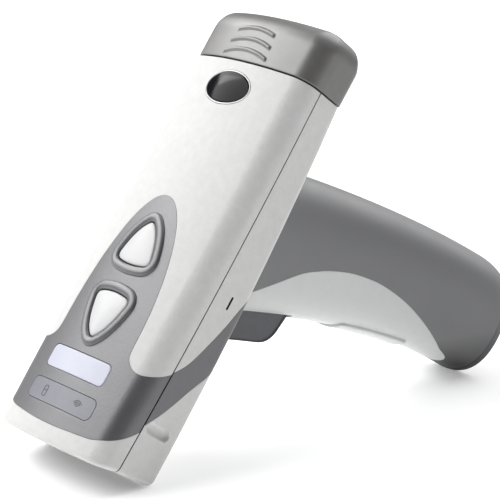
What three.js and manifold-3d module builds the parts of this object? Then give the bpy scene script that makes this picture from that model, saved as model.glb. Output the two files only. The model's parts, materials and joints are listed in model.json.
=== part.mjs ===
// Cordless hand-held scanner with a pistol grip, standing on its nose edge and the lip of its butt.
// Lengths are in millimetres. Every solid is drawn in the head's own frame: X across the head, +Y from
// the nose to the rear cap, +Z out of the key face, with z = 0 on the housing's parting line and y = 0
// on the rear cap's seam. The last lines lean that frame back into the standing position.
import * as THREE from "three";
import { mergeVertices } from "three/addons/utils/BufferGeometryUtils.js";
import Module from "manifold-3d";

// ---- driving dimensions -------------------------------------------------------------------------
const GAP = 0.3; // clearance between touching pieces
const HEAD_LENGTH = 117; // nose edge to rear cap seam, along the parting line
const HEAD_HALF_WIDTH = 26;
const BARREL = 1.05; // how much narrower each side is at the ends
const TOP_Z = 10.4; // crown of the key face above the parting line
const CROWN_R = 88;
const TOP_CORNER_R = 6.4;
const BOTTOM_CORNER_R = 2;
const SIDE_DRAFT = 0.5; // how much the lower half narrows towards its bottom corners
const WALL = 2;
const SKIN = 0.8; // soft overmould thickness
const NOSE_LEAN_UP = 0.18; // the nose face overhangs forward above the parting line
const NOSE_LEAN_DOWN = 0.063;
const LEAN_START_Y = -100; // the sections turn from upright to the nose's lean in front of this
const CAP_LENGTH = 17;
const CAP_RIDGES = [{ y: 9.4, half: 7.7 }, { y: 5.7, half: 8.5 }, { y: 2.1, half: 9.1 }];
const CAP_RIDGE_R = 26; // radius of the ridges' bow
const TONGUE_TIP_Y = -43;
const TONGUE_BASE_Y = -85;
const TONGUE_HALF_WIDTH = 16.6;
const UPPER_KEY = { tip: -51.6, base: -63.8, halfWidth: 6.9 };
const LOWER_KEY = { tip: -87.1, base: -74.3, halfWidth: 6.9 };
const RIM_WIDTH = 3.1;
const RIM_HEIGHT = 0.9;
const KEY_TRAVEL = 0.8;
const KEY_SWITCH_TOP = 4.8;
const BAR = { y0: -99, y1: -92.3, halfWidth: 13.4, corner: 1.4 };
const LABEL = { y0: -108.8, y1: -102.6, halfWidth: 14.8, corner: 1.8 };
const BADGE = { y: -8.3, a: 9.4, b: 5.2 };
const SLIT = { y0: -64.4, y1: -60.4, z0: -6.4, z1: -5.7 }; // one on each side of the head
const SCOOP = { y: -102.2, r: 1.4, top: -1.6, bottom: -9.6 };
const BUTT_SLOPE = 0.103; // rise of the butt face per millimetre towards the back of the grip
const BUTT_Z = -118;
const BUTT_PLATE = 3.2;
const TRIGGER_HALF_WIDTH = 6.5;
const TRIGGER_PIVOT = { y: -57, z: -18.5 };
const TRIGGER_PIN_R = 1.2;
const SCREW_R = 1.05;
const SCREW_HOLE_R = 1.35;
const LEAD_Y = -38; // where the battery lead passes from the grip into the head
const LEAD_R = 1.6;
const OPTICS_Z = -4.8;
const LENS_X = 4.6;
const BEZEL_WIDTH = 4.6; // from the head's outer surface to the window's opening
const STAND_TILT = THREE.MathUtils.degToRad(53.23); // lean of the head's axis above the table

// ---- materials ----------------------------------------------------------------------------------
const paint = (color, roughness = 0.6, extra = {}) =>
  new THREE.MeshStandardMaterial({ color, roughness, metalness: 0, ...extra });
const WHITE = paint(0xe9e9e6, 0.55);
const SOFT_GREY = paint(0x8f8f93, 0.8);
const DARK_GREY = paint(0x55565b, 0.7);
const BLACK = paint(0x101012, 0.4);
const KEY_WHITE = paint(0xf2f2f2, 0.35);
const GLOW = paint(0xdfe2f2, 0.3);
const SMOKED = paint(0x2a1416, 0.08, { transparent: true, opacity: 0.6 });
const GLASS = paint(0x9fb4c8, 0.05, { transparent: true, opacity: 0.5 });
const BOARD = paint(0x1d5a34, 0.5);
const STEEL = paint(0xb9bcc0, 0.3, { metalness: 1 });
const CELL = paint(0x2c4a86, 0.45);

// ---- solids -------------------------------------------------------------------------------------
const wasm = await Module();
wasm.setup();

function solidFrom(geometry) {
  const plain = new THREE.BufferGeometry().setAttribute("position", geometry.getAttribute("position"));
  if (geometry.index) plain.setIndex(geometry.index);
  const merged = mergeVertices(plain, 1e-4);
  const build = (triVerts) =>
    new wasm.Manifold(
      new wasm.Mesh({ numProp: 3, vertProperties: merged.attributes.position.array, triVerts }),
    );
  const triVerts = new Uint32Array(merged.index.array);
  const made = build(triVerts);
  if (made.volume() > 0) return made;
  for (let i = 0; i < triVerts.length; i += 3)
    [triVerts[i + 1], triVerts[i + 2]] = [triVerts[i + 2], triVerts[i + 1]];
  return build(triVerts);
}

// A closed solid through rings of [x, y, z] points, each ring with the same number of points.
function loft(rings) {
  const count = rings[0].length;
  const positions = rings.flat(2);
  const index = [];
  for (let r = 0; r + 1 < rings.length; r++)
    for (let i = 0; i < count; i++) {
      const a = r * count + i;
      const b = r * count + ((i + 1) % count);
      index.push(a, b, a + count, b, b + count, a + count);
    }
  for (const [start, flip] of [[0, true], [(rings.length - 1) * count, false]]) {
    const middle = positions.length / 3;
    const ring = rings[start / count];
    for (const k of [0, 1, 2]) positions.push(ring.reduce((sum, p) => sum + p[k], 0) / count);
    for (let i = 0; i < count; i++) {
      const a = start + i;
      const b = start + ((i + 1) % count);
      index.push(...(flip ? [middle, b, a] : [middle, a, b]));
    }
  }
  const geometry = new THREE.BufferGeometry();
  geometry.setAttribute("position", new THREE.Float32BufferAttribute(positions, 3));
  geometry.setIndex(index);
  return solidFrom(geometry);
}

function extrude(points, depth) {
  const shape = new THREE.Shape(points.map(([u, v]) => new THREE.Vector2(u, v)));
  return new THREE.ExtrudeGeometry(shape, { depth, bevelEnabled: false, steps: 1 });
}
// Prisms of an outline: prismZ takes [x, y] points, prismX takes [y, z] points, prismY takes [x, z].
const prismZ = (points, z0, z1) => solidFrom(extrude(points, z1 - z0).translate(0, 0, z0));
function prismX(points, x0, x1) {
  const geometry = extrude(points, x1 - x0);
  geometry.applyMatrix4(new THREE.Matrix4().set(0, 0, 1, x0, 1, 0, 0, 0, 0, 1, 0, 0, 0, 0, 0, 1));
  return solidFrom(geometry);
}
function prismY(points, y0, y1) {
  const geometry = extrude(points, y1 - y0);
  geometry.applyMatrix4(new THREE.Matrix4().set(1, 0, 0, 0, 0, 0, -1, y1, 0, 1, 0, 0, 0, 0, 0, 1));
  return solidFrom(geometry);
}
function box(x0, x1, y0, y1, z0, z1) {
  const geometry = new THREE.BoxGeometry(x1 - x0, y1 - y0, z1 - z0);
  return solidFrom(geometry.translate((x0 + x1) / 2, (y0 + y1) / 2, (z0 + z1) / 2));
}
// A round bar of radius r between two points.
function rod(r, from, to, sides = 16, r2 = r) {
  const a = new THREE.Vector3(...from);
  const b = new THREE.Vector3(...to);
  const geometry = new THREE.CylinderGeometry(r2, r, a.distanceTo(b), sides);
  const turn = new THREE.Quaternion().setFromUnitVectors(
    new THREE.Vector3(0, 1, 0),
    b.clone().sub(a).normalize(),
  );
  geometry.applyQuaternion(turn).translate((a.x + b.x) / 2, (a.y + b.y) / 2, (a.z + b.z) / 2);
  return solidFrom(geometry);
}

// ---- outlines -----------------------------------------------------------------------------------
// Moves each corner of a convex outline out by d.
function grow(points, d) {
  return points.map(([x, y], i) => {
    const [px, py] = points[(i + points.length - 1) % points.length];
    const [nx, ny] = points[(i + 1) % points.length];
    const area = points.reduce((s, [ax, ay], k) => {
      const [bx, by] = points[(k + 1) % points.length];
      return s + ax * by - bx * ay;
    }, 0);
    const length = Math.hypot(nx - px, ny - py) * Math.sign(area);
    return [x + ((ny - py) / length) * d, y - ((nx - px) / length) * d];
  });
}

// A three-sided key with bowed sides and round corners, pointing along Y.
function keyOutline({ tip, base, halfWidth }) {
  const way = Math.sign(tip - base);
  const length = Math.abs(tip - base);
  const at = (x, along) => new THREE.Vector2(x, base + way * along);
  const path = new THREE.Path();
  const start = at(1.5, length - 0.75);
  path.moveTo(start.x, start.y);
  const curve = (control, end) => path.quadraticCurveTo(control.x, control.y, end.x, end.y);
  curve(at(5.0, length * 0.72), at(halfWidth, 1.9));
  curve(at(halfWidth + 0.35, 0.1), at(halfWidth - 1.7, -0.3));
  curve(at(0, -1.3), at(-(halfWidth - 1.7), -0.3));
  curve(at(-(halfWidth + 0.35), 0.1), at(-halfWidth, 1.9));
  curve(at(-5.0, length * 0.72), at(-1.5, length - 0.75));
  curve(at(0, length + 0.65), start);
  const points = path.getPoints(4).map((p) => [p.x, p.y]);
  points.pop();
  return points;
}

function roundedRectangle(x0, x1, y0, y1, r, steps = 4) {
  const corners = [
    [x1 - r, y1 - r, 0], [x0 + r, y1 - r, 90], [x0 + r, y0 + r, 180], [x1 - r, y0 + r, 270],
  ];
  return corners.flatMap(([cx, cy, from]) =>
    Array.from({ length: steps + 1 }, (_, i) => {
      const angle = THREE.MathUtils.degToRad(from + (90 * i) / steps);
      return [cx + r * Math.cos(angle), cy + r * Math.sin(angle)];
    }),
  );
}

const ellipse = (a, b, y, sides) =>
  Array.from({ length: sides }, (_, i) => {
    const angle = (2 * Math.PI * i) / sides;
    return [a * Math.cos(angle), y + b * Math.sin(angle)];
  });

const smooth = (points, steps) =>
  new THREE.SplineCurve(points.map(([u, v]) => new THREE.Vector2(u, v)))
    .getPoints(steps)
    .map((p) => [p.x, p.y]);

// ---- head surface -------------------------------------------------------------------------------
const headHalfWidth = (y) => HEAD_HALF_WIDTH - BARREL * ((2 * y) / HEAD_LENGTH + 1) ** 2;
const bottomDepth = (y) => {
  const t = THREE.MathUtils.clamp(-y / HEAD_LENGTH, -0.1, 1.1);
  return 9.4 + 8.1 * t - 3.13 * t * t;
};
const crownZ = (x) => TOP_Z - (x * x) / (2 * CROWN_R);

// One cross-section of the head, pulled in by `inset` at the sides, `top` at the crown and `bottom`.
function headRing(y, inset = 0, top = inset, bottom = inset) {
  const half = headHalfWidth(THREE.MathUtils.clamp(y, -HEAD_LENGTH, 0)) - inset;
  const r = Math.max(TOP_CORNER_R - Math.max(inset, 0), 1.2);
  const cornerX = half - r;
  const cornerZ = Math.max(crownZ(cornerX) - top - r, 0.4);
  const rb = Math.max(BOTTOM_CORNER_R - Math.max(inset, 0), 0.5);
  const depth = bottomDepth(y) - bottom;
  const right = [[half, 0.01], [half, cornerZ]];
  for (let i = 1; i <= 4; i++) {
    const angle = (Math.PI / 2) * (i / 4);
    right.push([cornerX + r * Math.cos(angle), cornerZ + r * Math.sin(angle)]);
  }
  right.push([cornerX * 0.5, crownZ(cornerX * 0.5) - top]);
  const upper = [...right, [0, crownZ(0) - top], ...right.map(([x, z]) => [-x, z]).reverse()];
  const lowX = half - SIDE_DRAFT;
  const lower = [];
  for (let i = 0; i <= 2; i++) {
    const angle = (Math.PI / 2) * (i / 2);
    lower.push([-(lowX - rb + rb * Math.cos(angle)), -(depth - rb + rb * Math.sin(angle))]);
  }
  const section = [...upper, ...lower, ...lower.map(([x, z]) => [-x, z]).reverse()];
  const lean = THREE.MathUtils.clamp((LEAN_START_Y - y) / (HEAD_LENGTH + LEAN_START_Y), 0, 1);
  return section.map(([x, z]) => [x, y - lean * (z > 0 ? NOSE_LEAN_UP : NOSE_LEAN_DOWN) * z, z]);
}
const headStations = [-107, -88, -58, -28];
const headSolid = (inset, top, bottom, front, rear) =>
  loft([front, ...headStations, rear].map((y) => headRing(y, inset, top, bottom)));
// The head pulled in by the same amount all round, long enough to cut through both ends.
const headCut = (inset) => headSolid(inset, inset, inset, -130, 6);
const headLongCut = (inset) => headSolid(inset, inset, inset, -131, 7);

const nose = -HEAD_LENGTH;
const headOuter = loft([
  headRing(nose, 0.9, 0.9, 2.2),
  headRing(nose + 0.4, 0.35, 0.35, 1.1),
  headRing(nose + 1.3, 0, 0, 0.3),
  headRing(nose + 2.6, 0, 0, 0),
  ...headStations.map((y) => headRing(y)),
  headRing(-0.4, 0),
]);
const headInner = headSolid(WALL, WALL, WALL + 0.2, -130, 6);
const headSkin = headOuter.subtract(headCut(SKIN));
const headPocket = headCut(-1).subtract(headLongCut(SKIN + GAP));
const headGrown = headSolid(-GAP, -GAP, -GAP, -121, 4);
const aboveParting = box(-40, 40, -140, 30, GAP / 2, 40);
const belowParting = box(-40, 40, -140, 30, -40, -GAP / 2);

// ---- the two-tone regions -----------------------------------------------------------------------
// Plan outline of the grey tongue on the key face; a quarter on +X, mirrored to -X.
function tongueOutline() {
  const quarter = [];
  for (let i = 0; i <= 12; i++) {
    const angle = (Math.PI / 2) * (1 - i / 12);
    quarter.push([
      TONGUE_HALF_WIDTH * Math.cos(angle),
      TONGUE_BASE_Y + (TONGUE_TIP_Y - TONGUE_BASE_Y) * Math.sin(angle),
    ]);
  }
  quarter.push(...smooth([[16.75, -87.3], [17.9, -89.6], [20.4, -91.1], [22.4, -91.3]], 6));
  quarter.push([22.4, -111.7], ...smooth([[18.5, -112.6], [10.8, -113.3], [0, -113.7]], 4));
  const mirrored = quarter.slice(1, -1).map(([x, y]) => [-x, y]).reverse();
  return [...quarter, ...mirrored].reverse();
}
// Side outline of the grey band: over the shoulder, across the parting line and down to the belly.
const bandRear = smooth([
  [-91.3, 7.8], [-90.4, 5.7], [-88.5, 2.3], [-86.6, 0], [-82.2, -3.5], [-74.1, -6.8], [-63.1, -10.2],
  [-55, -11.7], [-46, -15.5],
], 20);
const bandFront = smooth([
  [-111.7, 7.8], [-110.3, 6.2], [-107.4, 3.7], [-102.9, 0.4], [-97.6, -3.6], [-87.5, -8.9], [-80, -11.9],
  [-71, -17],
], 18);
const bandOutline = [...bandRear, ...bandFront.reverse()];
const CENTRE_STRIP = 22.3; // half width of the key face that takes the tongue's outline
const centreStrip = box(-CENTRE_STRIP, CENTRE_STRIP, -140, 20, 0, 30);
const greyRegion = prismZ(tongueOutline(), 0, 20)
  .intersect(centreStrip)
  .add(prismX(bandOutline, -40, 40).subtract(centreStrip));

// ---- key face openings --------------------------------------------------------------------------
const onCrown = (points, z) => points.map(([x, y]) => [x, y, z + crownZ(x) - TOP_Z]);
const upperKeyShape = keyOutline(UPPER_KEY);
const lowerKeyShape = keyOutline(LOWER_KEY);
const keyHoles = [upperKeyShape, lowerKeyShape].map((shape) => prismZ(grow(shape, GAP), 4, 16));
const barShape = roundedRectangle(-BAR.halfWidth, BAR.halfWidth, BAR.y0, BAR.y1, BAR.corner, 3);
const labelShape = roundedRectangle(
  -LABEL.halfWidth, LABEL.halfWidth, LABEL.y0, LABEL.y1, LABEL.corner, 3,
);
const barHole = prismZ(grow(barShape, GAP / 2), 4, 16);
const labelHole = prismZ(grow(labelShape, GAP / 2), 4, 16);
// A patch that follows the head's surface between two depths below it.
const surfacePatch = (shape, upper, lower) =>
  headCut(upper).subtract(headLongCut(lower)).intersect(prismZ(shape, 2, 16));

const rims = [upperKeyShape, lowerKeyShape].map((shape) =>
  loft([
    onCrown(grow(shape, RIM_WIDTH), TOP_Z - 0.5),
    onCrown(grow(shape, RIM_WIDTH - 0.25), TOP_Z + RIM_HEIGHT * 0.5),
    onCrown(grow(shape, RIM_WIDTH - 1.0), TOP_Z + RIM_HEIGHT),
    onCrown(grow(shape, RIM_WIDTH - 2.0), TOP_Z + RIM_HEIGHT * 0.85),
    onCrown(grow(shape, GAP + 0.1), TOP_Z + 0.1),
  ]),
);

// ---- scene assembly -----------------------------------------------------------------------------
const scanner = new THREE.Group();
function piece(name, solid, material) {
  const mesh = solid.getMesh();
  const geometry = new THREE.BufferGeometry();
  const vertices = new Float32Array(mesh.numVert * 3);
  for (let i = 0; i < mesh.numVert; i++)
    for (const k of [0, 1, 2]) vertices[i * 3 + k] = mesh.vertProperties[i * mesh.numProp + k];
  geometry.setAttribute("position", new THREE.BufferAttribute(vertices, 3));
  geometry.setIndex(new THREE.BufferAttribute(new Uint32Array(mesh.triVerts), 1));
  geometry.computeVertexNormals();
  const made = new THREE.Mesh(geometry, material);
  made.name = name;
  scanner.add(made);
}

// Upper housing half: a white shell with a pocket for the soft panel.
const badgeRecess = prismZ(ellipse(BADGE.a + GAP / 2, BADGE.b + GAP / 2, BADGE.y, 28), TOP_Z - 1.6, 16);
const tonguePocket = prismZ(grow(tongueOutline(), GAP / 2), 0, 20).intersect(centreStrip);
const bandPocket = prismX(grow(bandOutline, GAP / 2), -40, 40);
const insideStrip = box(0.1 - CENTRE_STRIP, CENTRE_STRIP - 0.1, -140, 20, 0, 30);
let topShell = headOuter.subtract(headInner).intersect(aboveParting);
topShell = topShell.subtract(headPocket.intersect(tonguePocket));
topShell = topShell.subtract(headPocket.intersect(bandPocket).subtract(insideStrip));
for (const hole of [...keyHoles, barHole, badgeRecess]) topShell = topShell.subtract(hole);
piece("top_shell", topShell, WHITE);

let topPanel = headSkin.intersect(greyRegion).intersect(aboveParting);
for (const rim of rims) topPanel = topPanel.add(rim.subtract(headCut(SKIN)));
for (const cut of [...keyHoles, barHole, labelHole]) topPanel = topPanel.subtract(cut);
piece("top_overmould", topPanel, SOFT_GREY);

// Lower housing half, with two screw holes into the grip, a slit and a scoop on each side.
const gripScrews = [{ name: "grip_screw_front", y: -48 }, { name: "grip_screw_rear", y: -25 }];
let bottomShell = headOuter.subtract(headInner).intersect(belowParting);
bottomShell = bottomShell.subtract(headPocket.intersect(bandPocket));
for (const side of [-1, 1]) {
  const middle = side * 25.4;
  bottomShell = bottomShell.subtract(box(middle - 1, middle + 1, SLIT.y0, SLIT.y1, SLIT.z0, SLIT.z1));
  const scoop = rod(SCOOP.r, [side * 26.9, SCOOP.y, SCOOP.top], [side * 25.9, SCOOP.y, SCOOP.bottom], 12);
  bottomShell = bottomShell.subtract(scoop);
}
for (const { y } of gripScrews) bottomShell = bottomShell.subtract(rod(1.7, [0, y, -20], [0, y, 0], 16));
bottomShell = bottomShell.subtract(rod(LEAD_R + 0.6, [0, LEAD_Y, -20], [0, LEAD_Y, 0], 16));
piece("bottom_shell", bottomShell, WHITE);
let belly = headSkin.intersect(prismX(bandOutline, -40, 40)).intersect(belowParting);
for (const { y } of gripScrews) belly = belly.subtract(rod(2.2, [0, y, -20], [0, y, 0], 16));
piece("belly_overmould", belly, SOFT_GREY);

// Rear cap: a pull-off end cup with three thumb ridges, just proud of the housing.
const capRing = (y, side, end) => headRing(y, side, end, end);
let cap = loft([
  capRing(GAP, -0.15, -0.15), capRing(0.8, -0.3, -0.3), capRing(9.5, -0.25, -0.2),
  capRing(12.6, 0.25, 0.6), capRing(14.8, 1.2, 2.0), capRing(16.2, 2.7, 4.0),
  capRing(CAP_LENGTH, 5.0, 6.3),
]);
cap = cap.subtract(loft([capRing(-1, 2.2, 2.2), capRing(9, 2.4, 2.4), capRing(13, 5, 4.2)]));
const ridgeProfile = roundedRectangle(-0.55, 0.55, -0.5, 0.35, 0.25, 1);
for (const ridge of CAP_RIDGES) {
  const rings = [];
  for (let i = 0; i <= 8; i++) {
    const x = ridge.half * (i / 4 - 1);
    const y = ridge.y + (ridge.half * ridge.half - x * x) / (2 * CAP_RIDGE_R);
    rings.push(ridgeProfile.map(([u, v]) => [x, y + u, crownZ(x) + 0.25 + v]));
  }
  cap = cap.add(loft(rings));
}
piece("rear_cap", cap, SOFT_GREY);

// Bulkhead behind the cap, with its connector and two screws.
const socket = { x: 12, z0: -5.4, z1: 1.2, wall: 1.8 };
const innerRing = (y) => headRing(y, WALL + GAP, WALL + GAP, WALL + GAP + 0.2);
const bulkheadScrews = [{ name: "bulkhead_screw_left", x: -17.5 }, { name: "bulkhead_screw_right", x: 17.5 }];
let bulkhead = loft([innerRing(-3.4), innerRing(-0.7)]);
bulkhead = bulkhead.subtract(box(-socket.x - GAP, socket.x + GAP, -5, 1, socket.z0 - GAP, socket.z1 + GAP));
for (const { x } of bulkheadScrews)
  bulkhead = bulkhead.subtract(rod(SCREW_HOLE_R, [x, -5, 0], [x, 1, 0], 12));
piece("rear_bulkhead", bulkhead, DARK_GREY);
const socketHollow = box(-9.5, 9.5, -4, 0, socket.z0 + socket.wall, socket.z1 - socket.wall);
const connector = box(-socket.x, socket.x, -9, -1, socket.z0, socket.z1).subtract(socketHollow);
piece("rear_connector", connector, BLACK);
for (const { name, x } of bulkheadScrews) {
  const shank = rod(SCREW_R, [x, -7, 0], [x, -0.2, 0], 12);
  piece(name, shank.add(rod(2.1, [x, -0.35, 0], [x, 0.95, 0], 12)), STEEL);
}

// Badge: a thin rim round a blank glossy dome.
const badgeRim = prismZ(ellipse(BADGE.a, BADGE.b, BADGE.y, 28), TOP_Z - 1.2, TOP_Z + 0.15).subtract(
  prismZ(ellipse(BADGE.a - 0.75, BADGE.b - 0.75, BADGE.y, 28), TOP_Z - 3, 16),
);
piece("badge_ring", badgeRim, STEEL);
const domeRing = (inset, z) =>
  ellipse(BADGE.a - 1.05 - inset, BADGE.b - 1.05 - inset, BADGE.y, 28).map(([x, y]) => [x, y, z]);
const badgeDome = loft([
  domeRing(0, TOP_Z - 1.2), domeRing(0, TOP_Z), domeRing(1, TOP_Z + 0.4), domeRing(2.4, TOP_Z + 0.62),
]);
piece("badge_lens", badgeDome, BLACK);

// Keys: domed caps on a short stem above their dome switches.
for (const [name, shape, { tip, base }] of [
  ["upper_key", upperKeyShape, UPPER_KEY],
  ["lower_key", lowerKeyShape, LOWER_KEY],
]) {
  const middle = base + (tip - base) * 0.42;
  const shrink = (share, z) =>
    onCrown(shape.map(([x, y]) => [x * share, middle + (y - middle) * share]), z);
  const dome = loft([
    shrink(1, TOP_Z - 2.6), shrink(1, TOP_Z - 0.25), shrink(0.93, TOP_Z + 0.15), shrink(0.75, TOP_Z + 0.5),
    shrink(0.4, TOP_Z + 0.72),
  ]);
  const stemEnd = KEY_SWITCH_TOP + KEY_TRAVEL + 0.4;
  piece(name, dome.add(rod(1.6, [0, middle, stemEnd], [0, middle, TOP_Z - 2.2], 12)), KEY_WHITE);
  const switchBase = box(-3, 3, middle - 3, middle + 3, 3.3, 4.2);
  const switchDome = rod(2.3, [0, middle, 4.1], [0, middle, KEY_SWITCH_TOP], 12, 1.4);
  piece(name + "_switch", switchBase.add(switchDome), STEEL);
}
piece("light_bar", surfacePatch(barShape, -0.15, 2.4), GLOW);
piece("status_label", surfacePatch(labelShape, 0.02, 0.7), SOFT_GREY);

// Key board with the lights behind the bar and the label.
piece("key_board", prismZ(roundedRectangle(-17, 17, -110, -50, 2, 2), 1.8, 3.0), BOARD);
for (const [name, x, y] of [
  ["bar_led_left", -8, -95.6], ["bar_led_centre", 0, -95.6], ["bar_led_right", 8, -95.6],
  ["battery_led", -7, -105.8], ["radio_led", 8, -105.8],
])
  piece(name, box(x - 1.5, x + 1.5, y - 1.2, y + 1.2, 3.3, 4.7), GLOW);

// Nose: bezel, window and the imager behind it.
const noseRing = (y, inset) => headRing(y, inset, inset, inset + 0.2);
piece(
  "window_bezel",
  loft([noseRing(nose + 0.15, WALL + GAP), noseRing(nose + 6, WALL + GAP)]).subtract(
    loft([noseRing(nose - 2, BEZEL_WIDTH), noseRing(nose + 8, BEZEL_WIDTH)]),
  ),
  DARK_GREY,
);
const windowInset = BEZEL_WIDTH + GAP;
piece("nose_window", loft([noseRing(nose + 1.4, windowInset), noseRing(nose + 3, windowInset)]), SMOKED);
let chassis = prismY(roundedRectangle(-17, 17, -10.6, 1.3, 2, 1), -108.5, -97);
const optics = [
  { name: "lens_barrel_near", x: -LENS_X, z: OPTICS_Z, r: 3.3, from: -110.5, to: -100.5, material: BLACK },
  { name: "lens_barrel_far", x: LENS_X, z: OPTICS_Z, r: 3.3, from: -110.5, to: -100.5, material: BLACK },
  { name: "aimer_lens", x: 0, z: -0.4, r: 1.0, from: -110, to: -104, material: GLASS },
  { name: "illuminator_left", x: -12.4, z: OPTICS_Z, r: 2.4, from: -110.2, to: -104, material: GLASS },
  { name: "illuminator_right", x: 12.4, z: OPTICS_Z, r: 2.4, from: -110.2, to: -104, material: GLASS },
];
for (const { x, z, r, to } of optics)
  chassis = chassis.subtract(rod(r + GAP, [x, -115, z], [x, to + GAP, z], 16));
piece("imager_chassis", chassis, DARK_GREY);
for (const { name, x, z, r, from, to, material } of optics)
  piece(name, rod(r, [x, from, z], [x, to, z], 16), material);
for (const [name, x] of [["lens_near", -LENS_X], ["lens_far", LENS_X]])
  piece(name, rod(2.0, [x, -112.0, OPTICS_Z], [x, -110.8, OPTICS_Z], 16, 2.5), GLASS);

// Electronics in the body of the head.
piece("main_board", prismZ(roundedRectangle(-19, 19, -93, -11, 2, 2), -6.6, -5.4), BOARD);
piece("processor_shield", box(-12, 12, -84, -60, -5.1, -2.2), STEEL);
piece("radio_module", box(-16, 2, -56, -42, -5.1, -2.9), STEEL);
piece("beeper", rod(6, [9.5, -48.5, -5.1], [9.5, -48.5, -0.8], 24), BLACK);
piece("vibration_motor", rod(3, [-14, -33, -2.0], [2, -33, -2.0], 20), STEEL);
piece("memory_chip", box(6, 16, -38, -26, -5.1, -3.9), BLACK);

// ---- grip ---------------------------------------------------------------------------------------
// Rows of height, front and back of the grip on its centre line, and half its width.
const GRIP_TOP = -8;
const GRIP_EXPONENT = 2.4; // of the superellipse that the grip's section is
const gripRows = [
  [GRIP_TOP, -68.5, -20.8, 15.0], [-20, -63.5, -17.7, 14.8], [-34, -57.7, -14.4, 14.4],
  [-50, -52.1, -10.9, 14.2], [-68, -45.7, -7.5, 14.2], [-86, -41.3, -4.85, 14.3],
  [-104, -38.4, -2.65, 14.6], [-122, -36.9, -1.7, 15.0],
];
function gripAt(z) {
  let i = 0;
  while (i < gripRows.length - 2 && gripRows[i + 1][0] > z) i++;
  const [a, b] = [gripRows[i], gripRows[i + 1]];
  const share = (z - a[0]) / (b[0] - a[0]);
  return [1, 2, 3].map((k) => a[k] + (b[k] - a[k]) * share);
}
function gripRing(z, inset, sides = 24) {
  const [front, back, half] = gripAt(z);
  const [middle, deep, wide] = [(front + back) / 2, (back - front) / 2 - inset, half - inset];
  const slope = (BUTT_SLOPE * (z - GRIP_TOP)) / (BUTT_Z - GRIP_TOP);
  const power = 2 / GRIP_EXPONENT;
  return Array.from({ length: sides }, (_, i) => {
    const angle = (2 * Math.PI * (i + 0.5)) / sides;
    const [c, s] = [Math.cos(angle), Math.sin(angle)];
    const x = wide * Math.sign(c) * Math.abs(c) ** power;
    const across = deep * Math.sign(s) * Math.abs(s) ** power;
    return [x, middle + across, z + across * slope];
  });
}
const gripHeights = [-20, -34, -50, -68, -86, -104];
function gripSolid(inset, from, to, sides) {
  const between = gripHeights.filter((z) => z < from && z > to);
  return loft([from, ...between, to].map((z) => gripRing(z, inset, sides)));
}
// The grip pulled in by an inset, long enough to cut through both ends.
const gripCut = (inset) => gripSolid(inset, -6, -130);
const gripLongCut = (inset) => gripSolid(inset, -5, -131);
const gripEnd = BUTT_Z + BUTT_PLATE;

// Side outline of the white insert; the soft overmould covers everything outside it.
const insertEdge = smooth([
  [-66, -11], [-54.9, -21.9], [-42.2, -34.1], [-36.2, -44.1], [-32.3, -55.1], [-30.8, -66.2], [-30.9, -76.8],
  [-32.9, -88.2], [-34.5, -97], [-35.9, -103], [-38.2, -107.8], [-43, -111],
], 24);
const insertOutline = [...insertEdge, [-100, -111], [-100, -11]];
const triggerPocket = prismX([
  [-90, -8], [-53.4, -8], [-53.4, -24], [-46.0, -44.8], [-56, -44.4], [-90, -44],
], -TRIGGER_HALF_WIDTH - 0.4, TRIGGER_HALF_WIDTH + 0.4);
// A round bar along the trigger's axis, as long on one side as on the other.
const onPivot = (r, reach) =>
  rod(r, [-reach, TRIGGER_PIVOT.y, TRIGGER_PIVOT.z], [reach, TRIGGER_PIVOT.y, TRIGGER_PIVOT.z], 20);
const pinHole = onPivot(TRIGGER_PIN_R + 0.15, 9.8);
const batteryBay = gripSolid(4.4, -46, -121, 16);
const strapWindow = (extra) => box(-7.5 - extra, 7.5 + extra, -60, -30, -89 - extra, -62 + extra);
const gripLayer = gripSolid(0, GRIP_TOP, gripEnd).subtract(gripCut(1.2));
const gripPocket = gripCut(-2).subtract(gripLongCut(1.5));
const strapPocket = gripCut(-2).subtract(gripLongCut(0.9)).intersect(strapWindow(GAP));

let gripCore = gripSolid(0, GRIP_TOP, gripEnd)
  .subtract(gripPocket.subtract(prismX(grow(insertOutline, -GAP / 2), -40, 40)))
  .subtract(headGrown)
  .subtract(triggerPocket)
  .subtract(pinHole)
  .subtract(batteryBay)
  .subtract(strapPocket);
for (const { y } of gripScrews)
  gripCore = gripCore.subtract(rod(SCREW_HOLE_R, [0, y, -24], [0, y, GRIP_TOP], 16));
gripCore = gripCore.subtract(rod(LEAD_R + 0.6, [0, LEAD_Y, -50], [0, LEAD_Y, GRIP_TOP], 16));
piece("grip_core", gripCore, WHITE);

const overmould = gripLayer
  .subtract(prismX(grow(insertOutline, GAP / 2), -40, 40))
  .subtract(headGrown);
piece("grip_overmould", overmould, SOFT_GREY);
const strapPlate = gripSolid(-0.3, GRIP_TOP, gripEnd).subtract(gripCut(0.6)).intersect(strapWindow(0));
piece("strap_plate", strapPlate, WHITE);

const buttScrews = [{ name: "butt_screw_front", y: -30 }, { name: "butt_screw_rear", y: -9 }];
let buttPlate = loft([
  gripRing(gripEnd - GAP, 0), gripRing(BUTT_Z + 1.6, 0), gripRing(BUTT_Z + 0.6, 0.45), gripRing(BUTT_Z, 1.7),
]);
for (const { y } of buttScrews)
  buttPlate = buttPlate.subtract(rod(SCREW_HOLE_R, [0, y, -110], [0, y, -125], 12));
piece("butt_plate", buttPlate, BLACK);

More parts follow.
